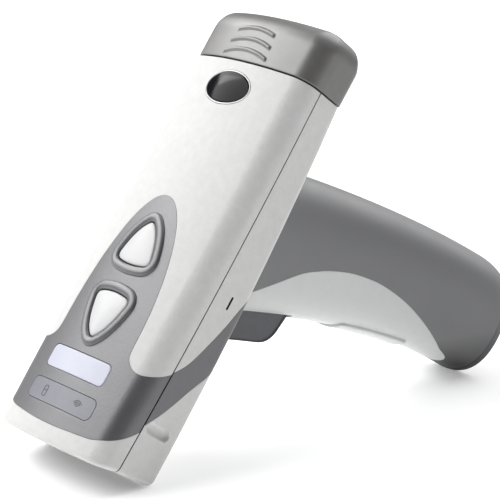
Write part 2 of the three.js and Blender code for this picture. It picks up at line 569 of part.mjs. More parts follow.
// Battery in the grip, the lead up to the head, and the screws that hold the grip to the housing.
piece("battery_pack", gripSolid(5.4, -50, -112.5, 16), CELL);
piece("battery_lead", rod(LEAD_R, [0, LEAD_Y, -45.5], [0, LEAD_Y, -7.2], 12), BLACK);
for (const { name, y } of gripScrews)
  piece(name, rod(SCREW_R, [0, y, -22], [0, y, -9], 12).add(rod(1.35, [0, y, -11], [0, y, -8], 12)), STEEL);
const BUTT_MIDDLE_Y = -19;
for (const { name, y } of buttScrews) {
  const face = BUTT_Z + (y - BUTT_MIDDLE_Y) * BUTT_SLOPE;
  piece(name, rod(SCREW_R, [0, y, face + 2], [0, y, face + GAP], 12), STEEL);
}

// Trigger: hangs from its pin in the pocket at the front of the grip.
const triggerSide = [
  [-73.4, -14.9], [-67.3, -30.2], [-63.7, -38.5], [-62.4, -40.7], [-60.4, -42.0], [-58.4, -42.4],
  [-52.2, -43.6], [-50.7, -43.5], [-55.6, -29.5], [-54.4, -22.0], [-54.4, -14.9],
];
const triggerBody = prismX(triggerSide, -TRIGGER_HALF_WIDTH, TRIGGER_HALF_WIDTH)
  .subtract(onPivot(TRIGGER_PIN_R + 0.1, 9));
piece("trigger", triggerBody, DARK_GREY);
piece("trigger_pin", onPivot(TRIGGER_PIN_R, 9.2), STEEL);

// ---- stand it up --------------------------------------------------------------------------------
scanner.rotation.x = STAND_TILT;
const stand = new THREE.Group();
stand.add(scanner);
stand.updateMatrixWorld(true);
const extent = new THREE.Box3().setFromObject(stand, true);
scanner.position.set(
  -(extent.min.x + extent.max.x) / 2,
  -(extent.min.y + extent.max.y) / 2,
  -extent.min.z,
);
stand.updateMatrixWorld(true);

export default stand;
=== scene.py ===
# Looks of a cordless hand-held scanner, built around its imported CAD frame.
# Shapes are drawn in millimetres in the head's own frame, as the CAD draws them: X across the head,
# +Y from the nose to the rear cap, +Z out of the key face, z = 0 on the parting line and y = 0 on
# the rear cap's seam. to_world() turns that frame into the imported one, in metres.
import json
import math

import bmesh
import bpy
import numpy as np
from mathutils import Matrix, Vector, kdtree
from mathutils.geometry import delaunay_2d_cdt


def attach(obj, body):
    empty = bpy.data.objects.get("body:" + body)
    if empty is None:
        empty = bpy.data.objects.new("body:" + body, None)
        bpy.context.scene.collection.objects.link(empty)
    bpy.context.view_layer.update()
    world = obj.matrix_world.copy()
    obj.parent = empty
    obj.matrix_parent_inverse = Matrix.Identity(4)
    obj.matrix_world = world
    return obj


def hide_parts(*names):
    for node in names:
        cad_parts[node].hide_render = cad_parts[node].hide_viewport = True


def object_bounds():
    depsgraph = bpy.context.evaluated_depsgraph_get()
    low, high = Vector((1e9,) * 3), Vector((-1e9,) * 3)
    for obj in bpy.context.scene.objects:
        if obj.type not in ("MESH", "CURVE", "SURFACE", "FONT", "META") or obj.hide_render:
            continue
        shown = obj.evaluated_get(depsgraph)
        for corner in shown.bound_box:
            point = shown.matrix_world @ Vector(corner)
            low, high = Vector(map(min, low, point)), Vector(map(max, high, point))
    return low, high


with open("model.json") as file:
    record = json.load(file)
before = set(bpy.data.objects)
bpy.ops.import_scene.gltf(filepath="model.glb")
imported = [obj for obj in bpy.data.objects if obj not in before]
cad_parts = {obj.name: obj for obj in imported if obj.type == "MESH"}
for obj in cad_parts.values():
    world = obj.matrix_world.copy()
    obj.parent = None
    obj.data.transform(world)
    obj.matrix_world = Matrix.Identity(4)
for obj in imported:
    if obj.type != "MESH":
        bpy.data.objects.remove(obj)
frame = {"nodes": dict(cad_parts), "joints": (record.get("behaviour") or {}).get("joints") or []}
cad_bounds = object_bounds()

MM = 0.001
HOUSING = "housing"

# ---- the head's frame ---------------------------------------------------------------------------
TRIGGER_PIVOT = (-57.0, -18.5)  # y and z of the trigger's pin
joints = {joint["name"]: joint for joint in frame["joints"]}
ALONG = np.array(joints["rear_cap_pull"]["axis"], float)
ALONG /= np.linalg.norm(ALONG)
OUT = np.cross((1.0, 0.0, 0.0), ALONG)
ORIGIN = np.array(joints["trigger_pull"]["pos_m"], float)
ORIGIN -= MM * (TRIGGER_PIVOT[0] * ALONG + TRIGGER_PIVOT[1] * OUT)
HEAD_AXES = np.array([(1.0, 0.0, 0.0), ALONG, OUT])


def to_world(points):
    return ORIGIN + MM * np.asarray(points, float) @ HEAD_AXES


# ---- driving dimensions, in millimetres ---------------------------------------------------------
HEAD_LENGTH = 117.0
HEAD_HALF_WIDTH = 26.0
BARREL = 1.05  # how far the sides come in at the ends
TOP_Z = 10.4
CROWN_R = 88.0
TOP_CORNER_R = 6.4
BOTTOM_CORNER_R = 2.4
BOTTOM_CURVE = (9.4, 8.1, -3.13)  # depth of the underside, by the share of the way to the nose
SIDE_DRAFT = 0.5
LEAN_START, LEAN_RUN = -100.0, 17.0  # where the nose starts to lean, and over what length
NOSE_LEAN_UP = 0.18
NOSE_LEAN_DOWN = 0.063
NOSE_ROUND_TOP = 1.4
NOSE_ROUND_BOTTOM = 2.4
NOSE_FACE = 2.3  # how far the shells turn in over the nose face
SHELL = 1.6
POCKET = 0.85  # depth of the pockets that hold the soft panels
PANEL = 0.8
CLEARANCE = 0.03
EDGE = 0.09  # rounding where two tones meet
PARTING_GAP = 0.14  # half the gap along the parting line
END_GAP = 0.1  # between the shells' rear end and the seam
UPPER_KEY = {"tip": -51.6, "base": -63.8, "half_width": 6.9}
LOWER_KEY = {"tip": -87.1, "base": -74.3, "half_width": 6.9}
KEY_GAP = 0.3
RIM_WIDTH = 3.1
RIM_HEIGHT = 0.85
BAR = (-13.4, 13.4, -99.0, -92.3, 1.7)  # low and high x, low and high y, corner radius
LABEL = (-14.8, 14.8, -108.8, -102.6, 1.9)
INLAY_GAP = 0.12  # round the bar and the label
BADGE_Y, BADGE_A, BADGE_B = -8.3, 9.4, 5.2
GRIP_START = -8.0
GRIP_TOP = -9.6
GRIP_END = -114.8
BUTT_Z = -118.0
BUTT_SLOPE = 0.103
BUTT_ROUND = 1.7
LINE_STEP = 0.25  # between the points of a line where two tones meet


# ---- small geometry helpers ---------------------------------------------------------------------
def smoothstep(low, high, value):
    t = np.clip((value - low) / (high - low), 0.0, 1.0)
    return t * t * (3.0 - 2.0 * t)


def spline(points, step=0.3):
    """A Catmull-Rom curve through the points, with about one vertex per step."""
    p = np.asarray(points, float)
    p = np.vstack([2 * p[0] - p[1], p, 2 * p[-1] - p[-2]])
    out = []
    for i in range(1, len(p) - 2):
        count = max(2, int(np.linalg.norm(p[i + 1] - p[i]) / step))
        t = np.linspace(0, 1, count, endpoint=False)[:, None]
        a, b, c, d = p[i - 1], p[i], p[i + 1], p[i + 2]
        curve = 2 * b + (c - a) * t + (2 * a - 5 * b + 4 * c - d) * t**2
        out.append(0.5 * (curve + (3 * b - a - 3 * c + d) * t**3))
    return np.vstack(out + [p[-2:-1]])


def resample(line, step, closed):
    """The same line with vertices about one step apart."""
    p = np.asarray(line, float)
    if closed:
        p = np.vstack([p, p[:1]])
    lengths = np.r_[0, np.cumsum(np.linalg.norm(np.diff(p, axis=0), axis=1))]
    count = max(4, int(round(lengths[-1] / step)))
    at = np.linspace(0, lengths[-1], count + 1)
    if closed:
        at = at[:-1]
    return np.column_stack([np.interp(at, lengths, p[:, k]) for k in range(p.shape[1])])


def normals_of(line, closed):
    """Unit normals on the right-hand side of the line's direction, stretched at corners."""
    if closed:
        before, after = np.roll(line, 1, 0), np.roll(line, -1, 0)
    else:
        before, after = np.vstack([line[:1], line[:-1]]), np.vstack([line[1:], line[-1:]])
    first, second = line - before, after - line

    def unit(v):
        return v / np.maximum(np.linalg.norm(v, axis=1, keepdims=True), 1e-9)

    first, second = unit(first), unit(second)
    if not closed:
        first[0], second[-1] = second[0], first[-1]
    middle = unit(first + second)
    stretch = 1 / np.clip(np.sum(middle * second, axis=1, keepdims=True), 0.5, 1)
    return np.column_stack([middle[:, 1], -middle[:, 0]]) * stretch


def area_of(loop):
    x, y = loop[:, 0], loop[:, 1]
    return 0.5 * np.sum(x * np.roll(y, -1) - np.roll(x, -1) * y)


def grow(loop, by):
    """The closed loop moved out by that much; negative moves it in."""
    side = math.copysign(1.0, area_of(loop))
    return loop + side * by * normals_of(loop, True)


def inside(points, loop):
    """Which points lie inside the closed loop."""
    result = np.zeros(len(points), bool)
    ax, ay = loop[:, 0], loop[:, 1]
    bx, by = np.roll(ax, -1), np.roll(ay, -1)
    for start in range(0, len(points), 2000):
        x = points[start:start + 2000, 0:1]
        y = points[start:start + 2000, 1:2]
        crosses = (ay > y) != (by > y)
        rise = np.where(np.abs(by - ay) < 1e-12, 1e-12, by - ay)
        hit = crosses & (x < (bx - ax) * (y - ay) / rise + ax)
        result[start:start + 2000] = hit.sum(axis=1) % 2 == 1
    return result


def distance(points, line, closed=True):
    """Distance from each point to the line."""
    a = line if closed else line[:-1]
    b = np.roll(line, -1, 0) if closed else line[1:]
    along = b - a
    square = np.maximum(np.sum(along * along, axis=1), 1e-12)
    result = np.empty(len(points))
    for start in range(0, len(points), 1000):
        p = points[start:start + 1000, None, :]
        t = np.clip(np.sum((p - a) * along, axis=2) / square, 0, 1)
        gap = p - (a + t[..., None] * along)
        result[start:start + 1000] = np.sqrt(np.min(np.sum(gap * gap, axis=2), axis=1))
    return result


def rounded_rectangle(x0, x1, y0, y1, r, steps=8):
    corners = ((x1 - r, y1 - r), (x0 + r, y1 - r), (x0 + r, y0 + r), (x1 - r, y0 + r))
    points = []
    for quarter, (cx, cy) in enumerate(corners):
        for i in range(steps + 1):
            angle = math.radians(90 * quarter + 90 * i / steps)
            points.append((cx + r * math.cos(angle), cy + r * math.sin(angle)))
    return np.array(points)


def bend(start, corner, end, t):
    """The point at share t of the quadratic curve from start to end that heads for the corner."""
    return (1 - t) ** 2 * start + 2 * t * (1 - t) * corner + t * t * end


def rounded_polygon(corners, radii, steps):
    """A polygon whose corners are quadratic curves that start one radius away."""
    corners = np.asarray(corners, float)
    points = []
    for i, r in enumerate(radii):
        p, a, b = corners[i], corners[i - 1], corners[(i + 1) % len(corners)]
        start = p + (a - p) * min(0.5, r / np.linalg.norm(a - p))
        end = p + (b - p) * min(0.5, r / np.linalg.norm(b - p))
        points += [bend(start, p, end, t) for t in np.linspace(0, 1, steps + 1)]
    return np.array(points)


def mirror(line, about=0.0):
    """The line mirrored about a value of its first coordinate, and run backwards."""
    return line[::-1] * (-1, 1) + (2 * about, 0)


# ---- meshes -------------------------------------------------------------------------------------
SHARP_DEGREES = 38.0
WELD_M, SLIVER_M = 2e-6, 1e-7
GRID_GAP = 0.22  # grid points closer than this to a line are left out
FILLET_ANGLES = (22.5, 45, 67.5, 90)
PAST_EDGE = 0.12  # from the end of a rounded edge to the last line along it


def add_object(name, data):
    made = bpy.data.objects.new(name, data)
    bpy.context.scene.collection.objects.link(made)
    return made


def add_mesh(name, points, faces, sharp=SHARP_DEGREES, second_from=None):
    """A closed mesh. Faces from number second_from on get the second material."""
    mesh = bpy.data.meshes.new(name)
    mesh.from_pydata(to_world(points).tolist(), [], [tuple(map(int, f)) for f in faces])
    if second_from is not None:
        slots = [int(i >= second_from) for i in range(len(faces))]
        mesh.polygons.foreach_set("material_index", slots)
    work = bmesh.new()
    work.from_mesh(mesh)
    bmesh.ops.remove_doubles(work, verts=work.verts, dist=WELD_M)
    bmesh.ops.dissolve_degenerate(work, edges=work.edges, dist=SLIVER_M)
    bmesh.ops.recalc_face_normals(work, faces=work.faces)
    work.to_mesh(mesh)
    work.free()
    mesh.shade_smooth()
    mesh.set_sharp_from_angle(angle=math.radians(sharp))
    return add_object(name, mesh)


def loft(name, rings, sharp=SHARP_DEGREES, ends=True):
    """A solid through closed rings of the same number of points, with or without end faces."""
    count = len(rings[0])
    points = np.vstack(rings)
    faces = []
    for start in range(0, (len(rings) - 1) * count, count):
        for i in range(count):
            j = (i + 1) % count
            faces.append((start + i, start + j, start + count + j, start + count + i))
    if ends:
        faces.append(tuple(range(count - 1, -1, -1)))
        faces.append(tuple(range(len(points) - count, len(points))))
    return add_mesh(name, points, faces, sharp)


def relief(name, surface, border, holes, lines, grid, depth, floor):
    """A skin that follows surface(a, v, depth): its face lies at depth(points), its back at floor.

    border and holes are closed loops in the surface's own flat coordinates, lines are more loops or
    open lines, as (line, closed), where the face bends, and grid holds the points in between."""
    coords, edges = [], []
    for line, closed in [(loop, True) for loop in (border, *holes)] + lines:
        start, count = len(coords), len(line)
        coords.extend(Vector((float(p[0]), float(p[1]))) for p in line)
        last = count if closed else count - 1
        edges.extend((start + i, start + (i + 1) % count) for i in range(last))
    tree = kdtree.KDTree(len(coords))
    for i, p in enumerate(coords):
        tree.insert((p.x, p.y, 0), i)
    tree.balance()
    for x, y in grid[inside(grid, border)]:
        if tree.find((x, y, 0))[2] > GRID_GAP:
            coords.append(Vector((float(x), float(y))))
    made = delaunay_2d_cdt(coords, edges, [], 0, 1e-5)
    flat = np.array([tuple(p) for p in made[0]])
    triangles = np.array([f for f in made[2] if len(f) == 3])
    centre = flat[triangles].mean(axis=1)
    keep = inside(centre, border)
    for hole in holes:
        keep &= ~inside(centre, hole)
    used, triangles = np.unique(triangles[keep], return_inverse=True)
    flat, triangles = flat[used], triangles.reshape(-1, 3)
    count = len(flat)
    face = surface(flat[:, 0], flat[:, 1], depth(flat))
    back = surface(flat[:, 0], flat[:, 1], np.full(count, float(floor)))
    faces = [tuple(t) for t in triangles] + [tuple(t[::-1] + count) for t in triangles]
    sides = np.vstack([triangles[:, [0, 1]], triangles[:, [1, 2]], triangles[:, [2, 0]]])
    sides = set(map(tuple, sides))
    for a, b in sides:
        if (b, a) not in sides:
            faces.append((b, a, a + count, b + count))
    return add_mesh(name, np.vstack([face, back]), faces, second_from=len(triangles))


def fillet(s, radius=EDGE):
    """Depth of a rounded edge at distance s from it."""
    t = np.clip(1 - s / radius, 0, 1)
    return radius * (1 - np.sqrt(np.clip(1 - t * t, 0, 1)))


def fillet_steps(radius=EDGE):
    """Distances from an edge at which a rounded edge bends, and one just past it."""
    steps = [radius * (1 - math.cos(math.radians(a))) for a in FILLET_ANGLES]
    return steps + [steps[-1] + PAST_EDGE]


def ring_lines(loop, distances):
    """The loop moved out by each distance, as lines for relief()."""
    return [(grow(loop, d), True) for d in distances]


def edge_lines(border, radius=EDGE):
    """Lines along which a border's rounded edge bends."""
    return ring_lines(border, [-s for s in fillet_steps(radius)])


def edge_depth(flat, loops, radius=EDGE):
    """Depth of the rounded edges along closed loops."""
    return np.max([fillet(distance(flat, loop), radius) for loop in loops], axis=0)


def pocket_lines(grey):
    """Lines along a pocket's wall and the rounded edge round it."""
    return ring_lines(grey, [-0.05, 0.0] + fillet_steps())


def pocket_edge(flat, grey):
    """Which points lie in a soft panel's pocket, and the depth of the edge round it."""
    gap = distance(flat, grey)
    within = inside(flat, grey) & (gap > 0.02)
    return within, fillet(np.where(within, 0, gap))


# ---- the head's surface -------------------------------------------------------------------------
# Flat coordinates of the head: `a` runs round the section from the crown's centre, in millimetres
# at the middle of the head, and `v` runs along it, over the rounded nose edge and on over the nose
# face.
A_CROWN = 21.35
A_CORNER = A_CROWN + 8.5
A_PARTING = A_CORNER + 1.6
A_SIDE = A_PARTING + 9.0
A_BOTTOM = A_SIDE + BOTTOM_CORNER_R * math.pi / 2
A_BELLY = A_BOTTOM + 22.6


def half_width(y):
    y = np.clip(y, -HEAD_LENGTH, 0)
    return HEAD_HALF_WIDTH - BARREL * (2 * y / HEAD_LENGTH + 1) ** 2


def bottom_depth(y):
    t = np.clip(-y / HEAD_LENGTH, -0.1, 1.1)
    start, slope, curve = BOTTOM_CURVE
    return start + slope * t + curve * t * t


def corner_of(y):
    """Centre x and z of the top corner's arc, and the angle at which it leaves the crown."""
    x = half_width(y) - TOP_CORNER_R
    z = TOP_Z - CROWN_R + np.sqrt((CROWN_R - TOP_CORNER_R) ** 2 - x * x)
    return x, z, np.arcsin(x / (CROWN_R - TOP_CORNER_R))


def lean(y, z):
    """How far the nose leans forward at height z."""
    share = np.clip((LEAN_START - y) / LEAN_RUN, 0, 1.2)
    return share * np.where(z > 0, NOSE_LEAN_UP, NOSE_LEAN_DOWN) * z


def nose_round(m):
    """Radius of the rounded nose edge."""
    share = smoothstep(A_PARTING + 2, A_SIDE + 1, m)
    return NOSE_ROUND_TOP + (NOSE_ROUND_BOTTOM - NOSE_ROUND_TOP) * share


def fold(a):
    """Distance round the section from the crown, and the side of the head."""
    a = np.asarray(a, float)
    side = np.where((a < 0) | (a > A_BELLY), -1.0, 1.0)
    m = np.abs(a)
    return np.where(m > A_BELLY, 2 * A_BELLY - m, m), side


def head_surface(a, v, depth):
    """Points of the head's surface, or at a depth under it, from flat coordinates."""
    m, side = fold(a)
    v = np.asarray(v, float)
    rho = nose_round(m)
    past = np.maximum(-HEAD_LENGTH + rho - v, 0)
    turn = np.minimum(past / rho, math.pi / 2)
    y = np.where(past > 0, -HEAD_LENGTH + rho - (rho - depth) * np.sin(turn), v)
    inset = rho - (rho - depth) * np.cos(turn) + np.maximum(past - rho * math.pi / 2, 0)
    half, deep = half_width(y), bottom_depth(y)
    cx, cz, phi = corner_of(y)
    angle = phi * m / A_CROWN
    x = (CROWN_R - inset) * np.sin(angle)
    z = TOP_Z - CROWN_R + (CROWN_R - inset) * np.cos(angle)
    angle = phi + (math.pi / 2 - phi) * (m - A_CROWN) / (A_CORNER - A_CROWN)
    corner = (m > A_CROWN) & (m <= A_CORNER)
    x = np.where(corner, cx + (TOP_CORNER_R - inset) * np.sin(angle), x)
    z = np.where(corner, cz + (TOP_CORNER_R - inset) * np.cos(angle), z)
    upper = (m > A_CORNER) & (m <= A_PARTING)
    x = np.where(upper, half - inset, x)
    z = np.where(upper, cz * (A_PARTING - m) / (A_PARTING - A_CORNER), z)
    share = (m - A_PARTING) / (A_SIDE - A_PARTING)
    lower = (m > A_PARTING) & (m <= A_SIDE)
    x = np.where(lower, half - SIDE_DRAFT * share - inset, x)
    z = np.where(lower, -(deep - BOTTOM_CORNER_R) * share, z)
    angle = (m - A_SIDE) / BOTTOM_CORNER_R
    low_x = half - SIDE_DRAFT - BOTTOM_CORNER_R
    edge = (m > A_SIDE) & (m <= A_BOTTOM)
    x = np.where(edge, low_x + (BOTTOM_CORNER_R - inset) * np.cos(angle), x)
    z = np.where(edge, -(deep - BOTTOM_CORNER_R) - (BOTTOM_CORNER_R - inset) * np.sin(angle), z)
    belly = m > A_BOTTOM
    x = np.where(belly, low_x * (A_BELLY - m) / (A_BELLY - A_BOTTOM), x)
    z = np.where(belly, -deep + inset, z)
    return np.column_stack([side * x, y - lean(y, z), z])


def unlean(y, z):
    """The v that leans to y at height z."""
    v = np.array(y, float)
    for _ in range(8):
        v = y + lean(v, z)
    return v


def from_plan(points):
    """Flat coordinates of points of the key face given as x and y."""
    x, y = np.asarray(points, float).T
    size = np.abs(x)
    z = TOP_Z - size**2 / (2 * CROWN_R)
    v = unlean(y, z)
    cx, cz, phi = corner_of(v)
    a = A_CROWN * np.arcsin(np.clip(size / CROWN_R, 0, 1)) / phi
    turn = np.arcsin(np.clip((size - cx) / TOP_CORNER_R, -1, 1))
    round_the_corner = A_CROWN + (A_CORNER - A_CROWN) * (turn - phi) / (math.pi / 2 - phi)
    a = np.where(turn > phi, round_the_corner, a)
    return np.column_stack([np.sign(x) * a, v])


def from_side(points):
    """Flat coordinates of points of the +X side given as y and z."""
    y, z = np.asarray(points, float).T
    v = unlean(y, z)
    cx, cz, phi = corner_of(v)
    deep = bottom_depth(v) - BOTTOM_CORNER_R
    turn = np.arccos(np.clip((z - cz) / TOP_CORNER_R, -1, 1))
    a = A_CROWN + (A_CORNER - A_CROWN) * (turn - phi) / (math.pi / 2 - phi)
    a = np.where(z < cz, A_PARTING - (A_PARTING - A_CORNER) * z / cz, a)
    a = np.where(z < 0, A_PARTING + (A_SIDE - A_PARTING) * -z / deep, a)
    below = np.arcsin(np.clip((-z - deep) / BOTTOM_CORNER_R, 0, 1))
    a = np.where(-z > deep, A_SIDE + BOTTOM_CORNER_R * below, a)
    return np.column_stack([a, v])


def nose_end(a):
    """v at which the shells end on the nose face."""
    rho = nose_round(fold(a)[0])
    turn = np.arccos(np.clip(1 - NOSE_FACE / rho, 0, 1))
    return -HEAD_LENGTH + rho - rho * turn - np.maximum(NOSE_FACE - rho, 0)


def spread(breaks):
    """Values from the first break on, as (value, step) pairs give them."""
    values = []
    for (start, step), (end, _) in zip(breaks, breaks[1:]):
        count = max(1, int(round((end - start) / step)))
        values.extend(np.linspace(start, end, count, endpoint=False))
    return np.array(values + [breaks[-1][0]])


def mesh_grid(across, along):
    a, v = np.meshgrid(across, along)
    return np.column_stack([a.ravel(), v.ravel()])


UPPER_ACROSS = spread([(0, 1.5), (A_CROWN - 1, 0.45), (A_CORNER, 0.5), (A_PARTING, 1)])
UPPER_ACROSS = np.r_[-UPPER_ACROSS[:0:-1], UPPER_ACROSS]
LOWER_ACROSS = spread([(A_PARTING, 1.0), (A_SIDE, 0.35), (A_BOTTOM, 1.6), (A_BELLY, 1)])
LOWER_ACROSS = np.r_[LOWER_ACROSS, 2 * A_BELLY - LOWER_ACROSS[-2::-1]]
HEAD_ALONG = spread([(-119.2, 0.3), (-113.6, 1.5), (0, 1)])


def strip_border(across):
    """Closed border of a shell half: the nose end follows the rounded nose edge."""
    sides = resample([(0, -END_GAP), (0, -118.0)], 0.8, False)[:, 1]
    left = np.column_stack([np.full(len(sides), across[0]), sides])
    front_a = resample(np.column_stack([across, across]), 0.7, False)[:, 0]
    front = np.column_stack([front_a, nose_end(front_a)])
    right = np.column_stack([np.full(len(sides), across[-1]), sides[::-1]])
    rear = np.column_stack([front_a[::-1], np.full(len(front_a), -END_GAP)])
    return np.vstack([left[:-1], front, right[1:], rear[1:-1]])


# ---- the two tones ------------------------------------------------------------------------------
TONGUE_TIP, TONGUE_BASE, TONGUE_HALF = -43.0, -85.0, 16.6


def mirrored(half):
    """A line on +X, from the centre line out, joined to its mirror image on -X."""
    return np.vstack([mirror(half)[:-1], half])


def tongue_line():
    """Rear edge of the grey panel: the tongue, its shoulders and down to the parting line."""
    angles = np.radians(np.arange(90, 2, -6))
    plan = np.column_stack([
        TONGUE_HALF * np.cos(angles),
        TONGUE_BASE + (TONGUE_TIP - TONGUE_BASE) * np.sin(angles),
    ])
    shoulder = [(16.75, -87.2), (17.7, -89.4), (19.9, -91.0)]
    side = [(-91.4, 7.4), (-90.7, 5.7), (-89.1, 2.8), (-87.1, 0.0), (-85.6, -2.0)]
    line = np.vstack([from_plan(plan), from_plan(shoulder), from_side(side)])
    return mirrored(spline(line, LINE_STEP))


def lip_line():
    """Front edge of the grey panel, behind the nose lip."""
    plan = [(0.0, -113.7), (6.0, -113.55), (12.0, -113.15), (18.5, -112.55)]
    side = [
        (-111.7, 7.8), (-110.5, 6.2), (-108.4, 3.7), (-106.2, 1.5), (-104.6, 0.0), (-103.0, -1.6),
    ]
    return mirrored(spline(np.vstack([from_plan(plan), from_side(side)]), LINE_STEP))


def band_line(side, corner):
    """One edge of the grey band: down the side in y and z, on round the corner to the belly's
    centre in flat coordinates, and up the other side."""
    half = spline(np.vstack([from_side(side), corner]), LINE_STEP)
    return np.vstack([half, mirror(half, A_BELLY)[1:]])


band_rear = band_line(
    [(-88.2, 1.4), (-86.6, 0.0), (-82.2, -3.5), (-74.1, -6.8), (-67.7, -9.0), (-63.1, -10.2)],
    [
        (A_SIDE + 1.2, -59.5), (A_BOTTOM, -56.5), (A_BOTTOM + 3, -54.6), (A_BOTTOM + 7, -53.6),
        (A_BELLY, -53.2),
    ],
)
band_front = band_line(
    [(-104.4, 1.4), (-102.8, 0.0), (-97.6, -3.6), (-92.7, -6.3), (-87.5, -8.9)],
    [
        (A_SIDE + 1.2, -81.5), (A_BOTTOM, -79.0), (A_BOTTOM + 3, -77.6), (A_BOTTOM + 7, -76.9),
        (A_BELLY, -76.5),
    ],
)


def soften(line, reach):
    """The line with its corners rounded over that reach, ends kept."""
    line = resample(line, LINE_STEP, False)
    wide = max(1, int(reach / LINE_STEP))
    before, after = 2 * line[0] - line[wide:0:-1], 2 * line[-1] - line[-2:-wide - 2:-1]
    padded = np.vstack([before, line, after])
    weights = np.hanning(2 * wide + 3)[1:-1]
    weights /= weights.sum()
    return np.column_stack([np.convolve(padded[:, k], weights, "valid") for k in range(2)])


def closed_between(rear, front):
    return np.vstack([rear, front[::-1]])


grey_upper = closed_between(soften(tongue_line(), 0.8), soften(lip_line(), 2.0))
grey_lower = closed_between(soften(band_rear, 2.5), soften(band_front, 2.5))


def cut(loop, low, high):
    """The part of a closed loop with `a` between two values, closed along them."""
    points = []
    for p, q in zip(loop, np.roll(loop, -1, 0)):
        if low <= p[0] <= high:
            points.append(p)
        for limit in (low, high):
            if (p[0] - limit) * (q[0] - limit) < 0:
                points.append(p + (q - p) * (limit - p[0]) / (q[0] - p[0]))
    return np.array(points)


# ---- keys, bar and label outlines ---------------------------------------------------------------
def key_outline(key, steps=14):
    """A three-sided key with bowed sides and round corners, pointing along Y."""
    way = math.copysign(1, key["tip"] - key["base"])
    length = abs(key["tip"] - key["base"])
    half = key["half_width"]
    right = [
        (1.5, length - 0.75), (5.0, length * 0.72), (half, 1.9), (half + 0.35, 0.1),
        (half - 1.7, -0.3),
    ]
    nodes = right + [(0, -1.3)] + [(-x, along) for x, along in right[::-1]] + [(0, length + 0.65)]
    nodes = [np.array((x, key["base"] + way * along)) for x, along in nodes]
    points = []
    for i in range(0, len(nodes), 2):
        a, b, c = nodes[i], nodes[i + 1], nodes[(i + 2) % len(nodes)]
        points += [bend(a, b, c, t) for t in np.linspace(0, 1, steps, endpoint=False)]
    return resample(np.array(points), 0.28, True)


key_outlines = {"upper_key": key_outline(UPPER_KEY), "lower_key": key_outline(LOWER_KEY)}
key_holes = {name: grow(line, KEY_GAP) for name, line in key_outlines.items()}
bar_outline = resample(rounded_rectangle(*BAR), 0.3, True)
label_outline = resample(rounded_rectangle(*LABEL), 0.3, True)
badge_angles = np.radians(np.arange(0, 360, 3))


def badge_loop(a, b):
    return np.column_stack([a * np.cos(badge_angles), BADGE_Y + b * np.sin(badge_angles)])


# ---- materials ----------------------------------------------------------------------------------
def set_inputs(node, values):
    """Sets a node's inputs; an underscore stands for a space in an input's name."""
    for key, value in values.items():
        node.inputs[key.replace("_", " ")].default_value = value


class Look:
    """A Principled material with procedural colour, roughness and bump."""

    def __init__(self, name, roughness, specular=0.5):
        self.material = bpy.data.materials.new(name)
        self.material.use_nodes = True
        self.tree = self.material.node_tree
        self.shader = self.tree.nodes["Principled BSDF"]
        self.set(Roughness=roughness, Specular_IOR_Level=specular)

    def set(self, **values):
        set_inputs(self.shader, values)

    def node(self, kind, **values):
        made = self.tree.nodes.new(kind)
        set_inputs(made, values)
        return made

    def link(self, a, b):
        self.tree.links.new(a, b)

    def texture(self, kind, **values):
        """A node that reads the object's own coordinates."""
        made = self.node(kind, **values)
        self.link(self.node("ShaderNodeTexCoord").outputs["Object"], made.inputs["Vector"])
        return made.outputs

    def noise(self, scale, detail=3.0, roughness=0.55):
        values = {"Scale": scale, "Detail": detail, "Roughness": roughness}
        return self.texture("ShaderNodeTexNoise", **values)["Fac"]

    def cells(self, scale):
        return self.texture("ShaderNodeTexVoronoi", Scale=scale)["Distance"]

    def ramp(self, source, stops):
        made = self.node("ShaderNodeValToRGB")
        elements = made.color_ramp.elements
        while len(elements) > 1:
            elements.remove(elements[-1])
        elements[0].position, elements[0].color = stops[0][0], (*stops[0][1], 1)
        for position, color in stops[1:]:
            elements.new(position).color = (*color, 1)
        self.link(source, made.inputs["Fac"])
        return made.outputs["Color"]

    def colour(self, output):
        self.link(output, self.shader.inputs["Base Color"])

    def between(self, source, colours, stops=(0.3, 0.7)):
        """Colour that goes from one colour to another between two values of a pattern."""
        self.colour(self.ramp(source, list(zip(stops, colours))))

    def rough(self, source, low, high):
        made = self.node("ShaderNodeMapRange", To_Min=low, To_Max=high)
        self.link(source, made.inputs["Value"])
        self.link(made.outputs["Result"], self.shader.inputs["Roughness"])

    def bump(self, source, strength, distance_mm):
        """Adds a bump on top of the bumps that are there."""
        before = [link.from_socket for link in self.shader.inputs["Normal"].links]
        made = self.node("ShaderNodeBump", Strength=strength, Distance=distance_mm * MM)
        self.link(source, made.inputs["Height"])
        for socket in before:
            self.link(socket, made.inputs["Normal"])
        self.link(made.outputs["Normal"], self.shader.inputs["Normal"])

    def translucent(self, weight, radius, scale_mm):
        self.set(Subsurface_Weight=weight, Subsurface_Radius=radius, Subsurface_Scale=scale_mm * MM)


def tones(base, spread_by):
    """Two colours either side of a base colour."""
    low = tuple(max(0.0, c * (1 - spread_by)) for c in base)
    high = tuple(min(1.0, c * (1 + spread_by)) for c in base)
    return low, high


def moulded(name, base, roughness, grain_scale, grain_depth, variation=0.03, specular=0.5):
    """Moulded plastic or rubber: fine spark-eroded grain, faint mottling and handling wear."""
    look = Look(name, roughness, specular)
    look.between(look.noise(420, 4.0, 0.62), tones(base, variation), (0.32, 0.68))
    look.rough(look.noise(90, 5.0, 0.6), roughness - 0.06, roughness + 0.07)
    look.bump(look.noise(grain_scale, 3.0, 0.6), 0.55, grain_depth)
    look.bump(look.cells(grain_scale * 0.62), 0.35, grain_depth * 0.8)
    return look


def white_plastic():
    look = moulded("white_moulding", (0.625, 0.625, 0.615), 0.5, 1900, 0.11, 0.03, 0.08)
    look.translucent(0.06, (1.0, 0.9, 0.8), 0.8)
    return look


